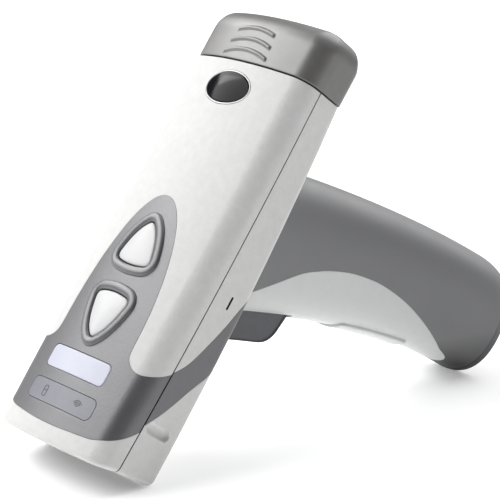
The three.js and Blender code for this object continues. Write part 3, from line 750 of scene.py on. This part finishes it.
def soft_touch(name, base, grain_depth):
    """Rubber-like coating, dark by itself and bright where it mirrors a light."""
    look = moulded(name, base, 0.42, 1900, grain_depth, 0.05, 0.8)
    look.set(IOR=1.62)
    return look


LIP_LOW, LIP_HIGH = 0.5, 15.0  # heights over the floor between which the painted shade at the lip fades out
# Painted shade: the grip's colour darkens to black towards the floor, where the lip stands in
# shade.
LIP_PAINTED_SHADE = [
    (0.0, (0.002, 0.002, 0.002)), (0.25, (0.01, 0.01, 0.01)), (0.5, (0.06, 0.06, 0.061)),
    (1.0, (0.142, 0.143, 0.147)),
]


def grip_rubber(name, *values):
    """The grip's rubber, darkened to black towards the lip that stands on the table: painted shade.
    """
    look = moulded(name, *values)
    place = look.texture("ShaderNodeSeparateXYZ")
    height = look.node("ShaderNodeMapRange", From_Min=LIP_LOW * MM, From_Max=LIP_HIGH * MM)
    look.link(place["Z"], height.inputs["Value"])
    look.colour(look.ramp(height.outputs["Result"], LIP_PAINTED_SHADE))
    return look


def dark_plastic(name, base, roughness=0.5):
    return moulded(name, base, roughness, 2000, 0.015, 0.08, 0.4)


def key_white():
    look = moulded("key_white", (0.58, 0.58, 0.58), 0.3, 900, 0.004, 0.01, 0.3)
    look.translucent(0.15, (1.0, 1.0, 1.0), 1.2)
    return look


def diffuser():
    look = moulded("diffuser", (0.50, 0.51, 0.59), 0.3, 800, 0.004, 0.015, 0.3)
    look.translucent(0.3, (1.0, 1.0, 1.2), 2.0)
    look.set(Emission_Color=(0.80, 0.84, 1.0, 1), Emission_Strength=0.03)
    return look


def badge_gloss():
    look = Look("badge_gloss", 0.12, 0.08)
    look.between(look.noise(60, 2.0), ((0.002, 0.002, 0.003), (0.006, 0.006, 0.008)))
    look.bump(look.noise(140, 1.0), 0.05, 0.02)
    return look


def metal(name, base, roughness):
    look = Look(name, roughness)
    look.set(Metallic=1.0)
    look.between(look.noise(300, 4.0), tones(base, 0.06))
    look.rough(look.noise(700, 3.0), roughness - 0.05, roughness + 0.1)
    look.bump(look.noise(3000, 2.0), 0.25, 0.006)
    return look


def glass(name, tint):
    look = Look(name, 0.03)
    look.set(Transmission_Weight=1.0, IOR=1.49)
    look.between(look.noise(40, 1.0), tones(tint, 0.05))
    look.bump(look.noise(200, 1.0), 0.04, 0.01)
    return look


def board_green():
    look = Look("solder_mask", 0.35)
    tracks = look.texture(
        "ShaderNodeTexBrick", Scale=260, Color1=(0.010, 0.085, 0.030, 1),
        Color2=(0.014, 0.105, 0.040, 1), Mortar=(0.03, 0.17, 0.07, 1),
    )
    look.colour(tracks["Color"])
    look.bump(tracks["Fac"], 0.3, 0.03)
    return look


def cell_wrap():
    look = moulded("cell_wrap", (0.03, 0.07, 0.20), 0.3, 500, 0.02, 0.05, 0.5)
    look.set(Coat_Weight=0.4)
    return look


LOOKS = {
    "white": white_plastic(),
    "insert": moulded("smooth_white_moulding", (0.60, 0.61, 0.60), 0.36, 2600, 0.008, 0.015, 0.35),
    "grey": soft_touch("grey_overmould", (0.072, 0.072, 0.079), 0.06),
    "cap": soft_touch("cap_grey", (0.108, 0.105, 0.101), 0.012),
    # the grip and butt rubber carry painted shade that darkens them towards the floor
    "grip": grip_rubber("grip_overmould_grey", (0.145, 0.147, 0.152), 0.5, 1900, 0.03, 0.05, 0.8),
    "butt": grip_rubber("butt_rubber", (0.17, 0.172, 0.18), 0.55, 1900, 0.025, 0.08, 0.6),
    "trigger": moulded("trigger_grey", (0.095, 0.098, 0.107), 0.45, 2400, 0.01, 0.05, 0.5),
    "dark": dark_plastic("dark_moulding", (0.035, 0.035, 0.038)),
    "black": dark_plastic("black_moulding", (0.008, 0.008, 0.009), 0.4),
    "ink": dark_plastic("icon_ink", (0.02, 0.02, 0.026)),
    "seam": dark_plastic("seam_shadow", (0.035, 0.026, 0.018), 0.7),
    "key": key_white(),
    "glow": diffuser(),
    "label": moulded("label_film", (0.17, 0.17, 0.20), 0.42, 2400, 0.01, 0.04, 0.6),
    "badge": badge_gloss(),
    "steel": metal("screw_steel", (0.55, 0.55, 0.56), 0.3),
    "badge_rim": metal("badge_rim", (0.42, 0.42, 0.41), 0.3),
    "smoked": glass("smoked_window", (0.28, 0.05, 0.05)),
    "glass": glass("optic_glass", (0.85, 0.9, 0.97)),
    "board": board_green(),
    "cell": cell_wrap(),
}


def finish_piece(piece, look, nodes=(), body=HOUSING, seam=None):
    """Gives a piece its material, puts it on its body and hides the CAD nodes that it stands for.

    seam is the look of a skin's edges and back, where it isn't the look of its face."""
    piece.data.materials.append(LOOKS[look].material)
    if any(face.material_index for face in piece.data.polygons):
        piece.data.materials.append(LOOKS[seam or look].material)
    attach(piece, body)
    if nodes:
        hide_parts(*nodes)


# ---- housing halves and their soft panels -------------------------------------------------------
UPPER_ENDS = (PARTING_GAP - A_PARTING, A_PARTING - PARTING_GAP)
LOWER_ENDS = (A_PARTING + PARTING_GAP, 2 * A_BELLY - A_PARTING - PARTING_GAP)


def shell_skin(name, across, ends, grey, edged, plain=(), finer=(), scoop=None):
    """A shell half, with a pocket for its soft panel. The holes in edged have rounded edges."""
    border = strip_border(np.clip(across, *ends))
    lines = edge_lines(border)
    for hole in edged:
        lines += ring_lines(hole, fillet_steps())
    grid = np.vstack([mesh_grid(across, HEAD_ALONG), *finer])

    def depth(flat):
        within, edge = pocket_edge(flat, grey)
        face = np.maximum(edge_depth(flat, [border, *edged]), edge)
        if scoop:
            face = face + scoop(flat)
        return np.where(within, POCKET, face)

    lines += pocket_lines(grey)
    return relief(name, head_surface, border, [*edged, *plain], lines, grid, depth, SHELL)


def panel_border(grey, ends):
    return resample(grow(cut(grey, *ends), -CLEARANCE), LINE_STEP, True)


def upper_shell():
    badge_hole = from_plan(badge_loop(BADGE_A + 0.1, BADGE_B + 0.1))
    wells = [from_plan(grow(hole, 0.15)) for hole in key_holes.values()]
    return shell_skin("top_shell_skin", UPPER_ACROSS, UPPER_ENDS, grey_upper, [badge_hole], wells)


RIM_MIDDLE, RIM_REACH = (RIM_WIDTH + KEY_GAP) / 2, (RIM_WIDTH - KEY_GAP) / 2


def rim_height(s):
    """Height of the rolled rim at distance s from a key's outline."""
    t = np.clip(1 - ((s - RIM_MIDDLE) / RIM_REACH) ** 2, 0, 1)
    return RIM_HEIGHT * np.sqrt(t)


def upper_panel():
    border = panel_border(grey_upper, UPPER_ENDS)
    openings = [from_plan(grow(line, INLAY_GAP)) for line in (bar_outline, label_outline)]
    wells = [from_plan(line) for line in key_holes.values()]
    feet = [from_plan(line) for line in key_outlines.values()]
    lines = edge_lines(border)
    for hole in openings:
        lines += ring_lines(hole, fillet_steps())
    steps = [RIM_MIDDLE - RIM_REACH * math.cos(math.radians(a)) for a in range(10, 181, 10)]
    for line in feet:
        lines += ring_lines(line, steps + [RIM_WIDTH + PAST_EDGE])
    grid = mesh_grid(UPPER_ACROSS, HEAD_ALONG)
    for line in feet:
        grid = grid[distance(grid, line) > RIM_WIDTH + 0.3]

    def depth(flat):
        lift = np.max([rim_height(distance(flat, line)) for line in feet], axis=0)
        return edge_depth(flat, [border, *openings]) - lift

    holes = [*wells, *openings]
    return relief("top_panel_skin", head_surface, border, holes, lines, grid, depth, PANEL)


SLOT = {"y": -62.45, "z": -6.05, "half": 1.95, "wide": 0.36, "round": 0.34}
SCOOP = {"y": -102.2, "half": 1.7, "top": -1.2, "bottom": -10.0, "deep": 1.45}


def scoop_depth(flat):
    """Depth of the finger scoop on each side, deepest at its lower end."""
    m, _ = fold(flat[:, 0])
    z = -(m - A_PARTING) / (A_SIDE - A_PARTING) * (bottom_depth(flat[:, 1]) - BOTTOM_CORNER_R)
    y = flat[:, 1] - lean(flat[:, 1], z)
    past_end = np.maximum(z - SCOOP["top"] + SCOOP["half"], SCOOP["bottom"] + SCOOP["half"] - z)
    off_axis = np.hypot(y - SCOOP["y"], np.maximum(past_end, 0)) / SCOOP["half"]
    bowl = np.clip(1 - off_axis ** 2, 0, 1) ** 0.5
    fall = 0.75 + 0.25 * smoothstep(0.1, 0.9, (SCOOP["top"] - z) / (SCOOP["top"] - SCOOP["bottom"]))
    return SCOOP["deep"] * bowl * fall


def lower_shell():
    half, wide = SLOT["half"], SLOT["wide"]
    slot = rounded_rectangle(-half, half, -wide, wide, SLOT["round"])
    slot = from_side(slot + (SLOT["y"], SLOT["z"]))
    fine = mesh_grid(np.arange(A_PARTING, A_SIDE + 1.5, 0.28), np.arange(-104.6, -99.4, 0.28))
    return shell_skin(
        "bottom_shell_skin", LOWER_ACROSS, LOWER_ENDS, grey_lower, [slot, mirror(slot, A_BELLY)],
        finer=(fine, mirror(fine, A_BELLY)[::-1]), scoop=scoop_depth,
    )


def lower_panel():
    border = panel_border(grey_lower, LOWER_ENDS)
    grid = mesh_grid(LOWER_ACROSS, HEAD_ALONG)

    def depth(flat):
        return edge_depth(flat, [border])

    lines = edge_lines(border)
    return relief("belly_panel_skin", head_surface, border, [], lines, grid, depth, PANEL)


finish_piece(upper_shell(), "white", ["top_shell"], seam="seam")
finish_piece(upper_panel(), "grey", ["top_overmould"], seam="seam")
finish_piece(lower_shell(), "white", ["bottom_shell"], seam="seam")
finish_piece(lower_panel(), "grey", ["belly_overmould"], seam="seam")


# ---- rear cap -----------------------------------------------------------------------------------
CAP_COUNTS = (110, 16, 4, 14, 8, 30)  # points along each stretch of half a section
CAP_START = 0.32


def head_ring(y, side, top, lift=None):
    """A closed section of the head at y, pulled in by those amounts."""
    half, deep = float(half_width(y)) - side, float(bottom_depth(min(y, 0.0))) - top
    r = max(TOP_CORNER_R - max(side, 0), 1.2)
    x = half - r
    z = TOP_Z - top - CROWN_R + math.sqrt((CROWN_R - r) ** 2 - x * x)
    phi = math.asin(x / (CROWN_R - r))
    rb = max(BOTTOM_CORNER_R - max(side, 0), 0.5)
    low_x = half - SIDE_DRAFT - rb
    crown, corner, up, down, low, belly = CAP_COUNTS
    right = []
    for t in np.linspace(0, 1, crown, endpoint=False):
        height = TOP_Z - top - CROWN_R + CROWN_R * math.cos(phi * t)
        right.append((CROWN_R * math.sin(phi * t), height))
    for t in np.linspace(phi, math.pi / 2, corner, endpoint=False):
        right.append((x + r * math.sin(t), z + r * math.cos(t)))
    z = max(z, 0.2)
    for t in np.linspace(0, 1, up, endpoint=False):
        right.append((half, z * (1 - t)))
    for t in np.linspace(0, 1, down, endpoint=False):
        right.append((half - SIDE_DRAFT * t, -(deep - rb) * t))
    for t in np.linspace(0, math.pi / 2, low, endpoint=False):
        right.append((low_x + rb * math.cos(t), -(deep - rb) - rb * math.sin(t)))
    for t in np.linspace(0, 1, belly):
        right.append((low_x * (1 - t), -deep))
    right = np.array(right)
    ring = np.vstack([right, right[-2:0:-1] * (-1, 1)])
    shift = lean(np.full(len(ring), float(y)), ring[:, 1])
    points = np.column_stack([ring[:, 0], y - shift, ring[:, 1]])
    if lift is not None:
        points[:, 2] += lift(points)
    return points


CAP_END = 17.0
RIDGES = ((9.4, 7.7), (5.7, 8.5), (2.1, 9.1))


def ridge_lift(points):
    """Height that the three thumb ridges add to the top of the cap."""
    x, y, z = points.T
    height = np.zeros(len(points))
    for end_y, half in RIDGES:
        centre = end_y + (half * half - x * x) / 52
        across = np.clip(1 - np.abs(y - centre) / 0.75, 0, 1)
        ends = smoothstep(-0.5, 0.25, half - np.abs(x))
        height = np.maximum(height, 0.5 * smoothstep(0, 0.8, across) * ends)
    return np.where(z > 6, height, 0)


def turned_in(y, start, run, reach):
    """How far a wall that turns in from y = start has come in at y."""
    share = max(0.0, (y - start) / run)
    return reach * (1 - math.sqrt(max(0.0, 1 - share ** 2)))


def cap_insets(y):
    """How far the cap's sides and its top have turned in at y; both start proud of the head."""
    return turned_in(y, 10.5, 6.5, 5.0) - 0.25, turned_in(y, 9.5, 7.5, 6.6) - 0.2


# y, and how far the sides and the top are pulled in: the hollow from its end out to the seam
CAP_INSIDE = ((12.5, 5, 4.4), (9, 2.4, 2.4), (CAP_START, 2.2, 2.2), (CAP_START, 1.0, 1.0))


def rear_cap():
    rings = [head_ring(*section) for section in CAP_INSIDE]
    stations = [CAP_START, 0.36, 0.44, 0.56] + list(np.arange(0.8, 11.7, 0.16))
    stations += [CAP_END - 5.3 * (1 - math.sin(math.radians(t))) for t in range(0, 88, 4)]
    for y in stations:
        side, top = cap_insets(y)
        edge = float(fillet(y - CAP_START, 0.22))
        rings.append(head_ring(y, side + edge, top + edge, ridge_lift))
    last = rings[-1]
    centre = np.array([0, CAP_END, -1.0])
    for share in (0.94, 0.86, 0.74, 0.6, 0.45, 0.3, 0.16, 0.05):
        ring = centre + (last - centre) * share
        ring[:, 1] = CAP_END - (CAP_END - last[:, 1]) * share**2.2
        rings.append(ring)
    return loft("rear_cap_shell", rings, 40)


finish_piece(rear_cap(), "cap", ["rear_cap"], "rear_cap")


# ---- keys, bar, label and badge -----------------------------------------------------------------
def crown_z(x):
    return TOP_Z - x * x / (2 * CROWN_R)


def on_crown(flat, z):
    """Points of the plan at a height over the key face."""
    return np.column_stack([flat, crown_z(flat[:, 0]) + z])


def key_cap(name, key):
    outline = key_outlines[name]
    middle = np.array([0, key["base"] + (key["tip"] - key["base"]) * 0.42])
    profile = [(1.0, -2.6), (1.0, -0.1), (0.995, 0.02), (0.98, 0.13), (0.955, 0.22)]
    profile += [(t, 0.30 + 0.42 * (1 - (t / 0.92) ** 2)) for t in np.linspace(0.92, 0.04, 22)]
    rings = [on_crown(middle + (outline - middle) * share, z) for share, z in profile]
    return loft(name + "_cap", rings, 50)


for key_name, key_size in (("upper_key", UPPER_KEY), ("lower_key", LOWER_KEY)):
    finish_piece(key_cap(key_name, key_size), "key", [key_name], key_name)


def inlay(name, outline, rise, rounding, floor):
    """A piece that fills an opening of the key face, with rounded edges."""
    border = from_plan(outline)
    lines = edge_lines(border, rounding)
    low, high = border.min(axis=0), border.max(axis=0)
    grid = mesh_grid(np.arange(low[0], high[0], 0.7), np.arange(low[1], high[1], 0.7))

    def depth(flat):
        return fillet(distance(flat, border), rounding) - rise

    return relief(name, head_surface, border, [], lines, grid, depth, floor)


bar_lens = inlay("light_bar_lens", bar_outline, 0.12, 0.4, 2.2)
finish_piece(bar_lens, "glow", ["light_bar"])
label_inlay = inlay("status_label_inlay", label_outline, 0.0, 0.08, 0.7)
finish_piece(label_inlay, "label", ["status_label"])


def stroke(name, lines, width, height):
    """Thin printed lines on the label: each line is a list of x and y, closed or open."""
    points, faces = [], []
    for line, closed in lines:
        line = np.asarray(line, float)
        across = normals_of(line, closed) * width / 2
        start = len(points)
        count = len(line)
        low, high = line - across, line + across
        for edge, z in ((low, 0), (high, 0), (high, height), (low, height)):
            flat = from_plan(edge)
            points.extend(head_surface(flat[:, 0], flat[:, 1], np.full(count, -z + 0.01)))
        for i in range(count if closed else count - 1):
            j = (i + 1) % count
            for k in range(4):
                a, b = k * count, ((k + 1) % 4) * count
                faces.append((start + a + i, start + a + j, start + b + j, start + b + i))
        if not closed:
            faces.append(tuple(start + k * count for k in range(4)))
            faces.append(tuple(start + k * count + count - 1 for k in (3, 2, 1, 0)))
    return add_mesh(name, np.array(points), faces)


def arc(cx, cy, r, start, end, count=14):
    angles = np.radians(np.linspace(start, end, count))
    return np.column_stack([cx + r * np.cos(angles), cy + r * np.sin(angles)])


def status_icons():
    """A battery and radio waves, as plain outlines."""
    bx, by = -6.9, -105.75
    battery = [
        (rounded_rectangle(bx - 0.8, bx + 0.8, by - 1.6, by + 1.5, 0.5, 4), True),
        ([(bx - 0.7, by + 0.15), (bx + 0.7, by + 0.15)], False),
    ]
    wx, wy = 8.3, -106.6
    waves = [(arc(wx, wy, r, 35, 145), False) for r in (0.5, 1.0, 1.5, 2.0)]
    return stroke("status_icons", battery + waves, 0.2, 0.05)


finish_piece(status_icons(), "ink")


BADGE_FLOOR = -1.2
BADGE_RIM = (  # how far in from the opening, and how high
    (0.0, BADGE_FLOOR), (0.0, 0.04), (0.06, 0.11), (0.18, 0.15), (0.3, 0.11), (0.38, 0.0),
    (0.38, BADGE_FLOOR), (0.0, BADGE_FLOOR),
)
DOME_INSET, DOME_HEIGHT = 0.42, 0.6


def badge_rim():
    rings = [on_crown(badge_loop(BADGE_A - inset, BADGE_B - inset), z) for inset, z in BADGE_RIM]
    return loft("badge_rim", rings, 60, False)


def badge_dome():
    a, b = BADGE_A - DOME_INSET, BADGE_B - DOME_INSET
    profile = [(1.0, BADGE_FLOOR), (1.0, -0.05)]
    profile += [(s, DOME_HEIGHT * (1 - s * s)) for s in np.linspace(0.99, 0.03, 20)]
    rings = [on_crown(badge_loop(a * share, b * share), z) for share, z in profile]
    return loft("badge_dome", rings, 50)


finish_piece(badge_rim(), "badge_rim", ["badge_ring"])
finish_piece(badge_dome(), "badge", ["badge_lens"])

# ---- grip ---------------------------------------------------------------------------------------
GRIP_ROWS = np.array([  # z, y of the front, y of the back, half width
    (-8, -68.5, -20.8, 15.0), (-20, -63.5, -17.7, 14.8), (-34, -57.7, -14.4, 14.4),
    (-50, -52.1, -10.9, 14.2), (-68, -45.7, -7.5, 14.2), (-86, -41.3, -4.85, 14.3),
    (-104, -38.4, -2.65, 14.6), (-122, -36.9, -1.7, 15.0),
])
GRIP_FITS = [np.polynomial.Polynomial.fit(GRIP_ROWS[:, 0], GRIP_ROWS[:, k], 4) for k in (1, 2, 3)]
GRIP_POWER = 2 / 2.4
HEEL_HEIGHT, HEEL_DEPTH = 11.0, 4.4  # rounding of the back of the grip down to the butt
ROUND = 14.0  # millimetres of flat coordinate per radian round the grip
FRONT = -math.pi / 2 * ROUND
CUT_LOW, CUT_HIGH = FRONT, FRONT + 2 * math.pi * ROUND
BACK = (CUT_LOW + CUT_HIGH) / 2
GRIP_STEP = 0.7
FOOT, CORE_END = -108.6, -112.0  # top of the rubber's front seam, lower end of the insert


def grip_at(z):
    front, back, half = (fit(z) for fit in GRIP_FITS)
    return (front + back) / 2, (back - front) / 2, half


def grip_slope(z):
    """Slope of the grip's level lines, from none at its top to the butt's own."""
    return BUTT_SLOPE * (z - GRIP_START) / (BUTT_Z - GRIP_START)


def grip_surface(b, z, depth):
    b, z = np.asarray(b, float), np.asarray(z, float)
    middle, deep, half = grip_at(z)
    c, s = np.cos(b / ROUND), np.sin(b / ROUND)
    x = (half - depth) * np.sign(c) * np.abs(c) ** GRIP_POWER
    low = np.clip((BUTT_Z + HEEL_HEIGHT - z) / HEEL_HEIGHT, 0, 1)
    heel = np.where(s > 0, HEEL_DEPTH * (1 - np.sqrt(1 - low ** 2)), 0)
    across = (deep - heel - depth) * np.sign(s) * np.abs(s) ** GRIP_POWER
    return np.column_stack([x, middle + across, z + across * grip_slope(z)])


def from_grip_side(points):
    """Flat coordinates of points of the grip's +X side given as y and z."""
    y, z = np.asarray(points, float).T
    row = z.copy()
    for _ in range(8):
        middle, deep, _ = grip_at(row)
        row = z - (y - middle) * grip_slope(row)
    share = np.clip((y - middle) / deep, -1, 1)
    s = np.sign(share) * np.abs(share) ** (1 / GRIP_POWER)
    return np.column_stack([ROUND * np.arcsin(s), row])


INSERT_SIDE = [
    (-57.5, -19.4), (-54.9, -21.9), (-48.6, -27.8), (-42.2, -34.1), (-38.6, -39.5), (-36.2, -44.1),
    (-33.7, -50.4), (-32.1, -56.5), (-31.0, -63.0), (-30.7, -70.0), (-31.0, -77.0), (-31.9, -84.0),
    (-33.2, -91.0), (-34.6, -97.5), (-35.6, -102.0),
]
INSERT_FOOT = [(-13.9, -103.6), (-15.0, -105.8), (-17.0, -107.4), (CUT_LOW, -108.0)]
insert_line = np.vstack([[(-10.6, GRIP_TOP)], from_grip_side(INSERT_SIDE), INSERT_FOOT])
insert_line = spline(insert_line, 0.3)
grip_grey_loop = np.vstack([
    insert_line,
    resample([(CUT_LOW, FOOT), (CUT_LOW, GRIP_END)], GRIP_STEP, False),
    resample([(CUT_LOW + 0.7, GRIP_END), (CUT_HIGH - 0.7, GRIP_END)], GRIP_STEP, False),
    resample([(CUT_HIGH, GRIP_END), (CUT_HIGH, FOOT)], GRIP_STEP, False),
    mirror(insert_line, BACK),
])
GRIP_ACROSS = np.arange(CUT_LOW, CUT_HIGH + 0.01, (CUT_HIGH - CUT_LOW) / 84)
GRIP_ALONG = spread([(GRIP_END, 1.6), (GRIP_TOP, 1)])
TRIGGER_HALF = 6.5
POCKET_HALF = TRIGGER_HALF + 0.35
POCKET_END = -44.9


def pocket_b(z):
    """Flat coordinate of the trigger pocket's side wall at that height."""
    half = grip_at(z)[2]
    return CUT_LOW + ROUND * np.arcsin(np.clip(POCKET_HALF / half, 0, 1) ** (1 / GRIP_POWER))


def grip_core():
    heights = resample([(0, GRIP_TOP), (0, POCKET_END + 1.0)], 0.6, False)[:, 1]
    notch = np.column_stack([pocket_b(heights), heights])
    last = notch[-1]
    corner = [last + (-0.12, -0.55), last + (-0.55, -0.92), last + (-1.1, -1.0)]
    foot = resample([last + (-1.5, -1.0), (CUT_LOW, last[1] - 1.0)], 0.5, False)
    front = resample([(CUT_LOW, last[1] - 1.6), (CUT_LOW, CORE_END)], GRIP_STEP, False)
    edge = np.vstack([notch, corner, foot])
    left = np.vstack([edge, front])
    bottom = resample([(CUT_LOW + 0.7, CORE_END), (CUT_HIGH - 0.7, CORE_END)], GRIP_STEP, False)
    top_ends = [(notch[0, 0] + 1, GRIP_TOP), (CUT_LOW + CUT_HIGH - notch[0, 0] - 1, GRIP_TOP)]
    top = resample(top_ends, GRIP_STEP, False)
    border = np.vstack([left, bottom, mirror(left, BACK), top[::-1]])
    beside = [notch + (offset, 0) for offset in fillet_steps()]
    lines = pocket_lines(grip_grey_loop) + [(line, False) for line in beside]
    lines += [(mirror(line, BACK), False) for line in beside]
    grid = mesh_grid(GRIP_ACROSS, GRIP_ALONG)

    def depth(flat):
        within, face = pocket_edge(flat, grip_grey_loop)
        for line in (edge, mirror(edge, BACK)):
            face = np.maximum(face, fillet(distance(flat, line, False)))
        return np.where(within | (flat[:, 1] < CORE_END + 1.5), POCKET, face)

    return relief("grip_core_skin", grip_surface, border, [], lines, grid, depth, 2.0)


def grip_skin():
    border = grow(grip_grey_loop, -CLEARANCE)
    for side in (CUT_LOW, CUT_HIGH):
        border[:, 0] = np.where(np.abs(border[:, 0] - side) < 0.1, side, border[:, 0])
    lines = []
    for s in fillet_steps():
        shifted = insert_line + normals_of(insert_line, False) * -(s + CLEARANCE)
        shifted = shifted[shifted[:, 0] > CUT_LOW + 0.01]
        lines += [(shifted, False), (mirror(shifted, BACK), False)]
    grid = mesh_grid(GRIP_ACROSS, GRIP_ALONG)
    grid = grid[(grid[:, 0] > CUT_LOW + 0.4) & (grid[:, 0] < CUT_HIGH - 0.4)]

    def depth(flat):
        sides = (insert_line, mirror(insert_line, BACK))
        gap = np.min([distance(flat, line, False) for line in sides], axis=0)
        return fillet(np.maximum(gap - CLEARANCE, 0))

    return relief("grip_overmould_skin", grip_surface, border, [], lines, grid, depth, PANEL)


finish_piece(grip_core(), "insert", ["grip_core"])
finish_piece(grip_skin(), "grip", ["grip_overmould"])


PAD_HALF, PAD_LOW, PAD_HIGH = 6.8, -89.0, -62.0
PAD_ROUND, PAD_RISE = 0.55, 0.75


def strap_pad():
    left, right = FRONT - PAD_HALF, FRONT + PAD_HALF
    border = resample(rounded_rectangle(left, right, PAD_LOW, PAD_HIGH, 1.2), 0.4, True)
    grid = mesh_grid(np.arange(left, right, 0.8), np.arange(PAD_LOW, PAD_HIGH, 1.2))

    def depth(flat):
        return edge_depth(flat, [border], PAD_ROUND) - PAD_RISE

    lines = edge_lines(border, PAD_ROUND)
    return relief("strap_pad", grip_surface, border, [], lines, grid, depth, 0.5)


finish_piece(strap_pad(), "insert", ["strap_plate"])


def grip_ring(z, inset, count=120):
    """A closed section of the grip, pulled in by that much."""
    around = np.linspace(0, 2 * math.pi * ROUND, count, endpoint=False)
    return grip_surface(around, np.full(count, z), inset)


def butt_plate():
    steps = ((-0.06, 1.2), (-0.06, 0.06), (-0.14, 0.0))
    rings = [grip_ring(GRIP_END + drop, inset) for drop, inset in steps]
    rings += [grip_ring(z, 0.0) for z in (-115.4, -116.0)]
    for t in range(0, 91, 9):
        angle = math.radians(t)
        z = BUTT_Z + BUTT_ROUND * (1 - math.sin(angle))
        rings.append(grip_ring(z, BUTT_ROUND * (1 - math.cos(angle))))
    return loft("butt_cover", rings, 40)


finish_piece(butt_plate(), "butt", ["butt_plate"])

# ---- trigger ------------------------------------------------------------------------------------
TRIGGER_CORNERS = [
    (-73.4, -14.9), (-67.2, -30.6), (-62.9, -42.2), (-51.2, -43.8), (-55.6, -29.5), (-54.4, -22.0),
    (-54.4, -14.9),
]
TRIGGER_RADII = [2.0, 16.0, 4.6, 3.0, 3.0, 3.0, 2.0]
TRIGGER_ROUND = 0.5


def trigger():
    outline = resample(rounded_polygon(TRIGGER_CORNERS, TRIGGER_RADII, 10), 0.4, True)
    rings = []
    for side, steps in ((-1, range(0, 91, 15)), (1, range(90, -1, -15))):
        for t in steps:
            in_from_side = TRIGGER_ROUND * (1 - math.cos(math.radians(90 - t)))
            x = side * (TRIGGER_HALF - in_from_side)
            flat = grow(outline, -TRIGGER_ROUND * (1 - math.sin(math.radians(t))))
            rings.append(np.column_stack([np.full(len(flat), x), flat]))
    return loft("trigger_lever", rings, 40)


finish_piece(trigger(), "trigger", ["trigger"], "trigger")

# ---- CAD nodes that show as they are ------------------------------------------------------------
CARRIED = {
    "dark": ["rear_bulkhead", "window_bezel", "imager_chassis"],
    "black": [
        "rear_connector", "lens_barrel_near", "lens_barrel_far", "beeper", "memory_chip",
        "battery_lead",
    ],
    "steel": [
        "bulkhead_screw_left", "bulkhead_screw_right", "upper_key_switch", "lower_key_switch",
        "processor_shield", "radio_module", "vibration_motor", "grip_screw_front",
        "grip_screw_rear", "butt_screw_front", "butt_screw_rear", "trigger_pin",
    ],
    "glow": ["bar_led_left", "bar_led_centre", "bar_led_right", "battery_led", "radio_led"],
    "smoked": ["nose_window"],
    "glass": ["aimer_lens", "illuminator_left", "illuminator_right", "lens_near", "lens_far"],
    "board": ["key_board", "main_board"],
    "cell": ["battery_pack"],
}
for look_name, node_names in CARRIED.items():
    for node_name in node_names:
        mesh_data = frame["nodes"][node_name].data
        mesh_data.materials.clear()
        mesh_data.materials.append(LOOKS[look_name].material)

# ---- stage, light and camera --------------------------------------------------------------------
CAMERA_AT = Vector((0.48885, -0.39611, 0.22406))
CAMERA_TARGET = Vector((-0.00372, -0.00850, 0.05058))
CAMERA_ROLL = math.radians(-0.21)
CAMERA_LENS = 162.68


FLOOR_HALF = 6.0
LIGHT_AIM = Vector((0, 0, 0.06))  # the point that the softboxes face


def add_floor():
    mesh = bpy.data.meshes.new("floor")
    corners = [(x * FLOOR_HALF, y * FLOOR_HALF, 0) for x, y in ((-1, -1), (1, -1), (1, 1), (-1, 1))]
    mesh.from_pydata(corners, [], [(0, 1, 2, 3)])
    floor = add_object("floor", mesh)
    floor.location.z = cad_bounds[0].z
    look = Look("floor_paper", 0.9, 0.2)
    look.between(look.noise(3, 2.0), ((0.90, 0.90, 0.90), (0.92, 0.92, 0.92)))
    look.set(Emission_Color=(1, 1, 1, 1), Emission_Strength=0.27)
    mesh.materials.append(look.material)


def area_light(name, direction, distance_m, size, watts, turn_degrees):
    """A softbox of the given width and height that faces the object, turned about its own axis."""
    data = bpy.data.lights.new(name, "AREA")
    data.shape = "RECTANGLE"
    data.size, data.size_y = size
    data.energy = watts
    lamp = add_object(name, data)
    away = Vector(direction).normalized()
    lamp.location = LIGHT_AIM + away * distance_m
    turn = Matrix.Rotation(math.radians(turn_degrees), 3, "Z")
    lamp.rotation_euler = (away.to_track_quat("Z", "Y").to_matrix() @ turn).to_euler()


def sun_light(name, direction, strength, spread_degrees):
    data = bpy.data.lights.new(name, "SUN")
    data.energy = strength
    data.angle = math.radians(spread_degrees)
    add_object(name, data).rotation_euler = Vector(direction).to_track_quat("Z", "Y").to_euler()


def add_world():
    world = bpy.data.worlds.new("studio")
    world.use_nodes = True
    shade = world.node_tree.nodes["Background"]
    set_inputs(shade, {"Color": (0.95, 0.96, 1.0, 1), "Strength": 0.15})
    bpy.context.scene.world = world


def add_camera():
    data = bpy.data.cameras.new("camera")
    data.sensor_width = 36.0
    data.lens = CAMERA_LENS
    data.clip_start, data.clip_end = 0.01, 30.0
    camera = add_object("camera", data)
    camera.location = CAMERA_AT
    look_at = (CAMERA_TARGET - CAMERA_AT).to_track_quat("-Z", "Y")
    turn = Matrix.Rotation(CAMERA_ROLL, 3, "Z")
    camera.rotation_euler = (look_at.to_matrix() @ turn).to_euler()
    bpy.context.scene.camera = camera


add_floor()
add_world()
area_light("key_softbox", (-0.53, -0.54, 0.655), 1.1, (1.25, 0.65), 13.4, 30)
area_light("cap_softbox", (-0.758, -0.05, 0.65), 1.1, (0.5, 0.5), 4.6, 0)
sun_light("overhead", (-0.1, 0.8, 0.75), 2.8, 60)
bpy.context.scene.view_settings.view_transform = "Standard"
add_camera()
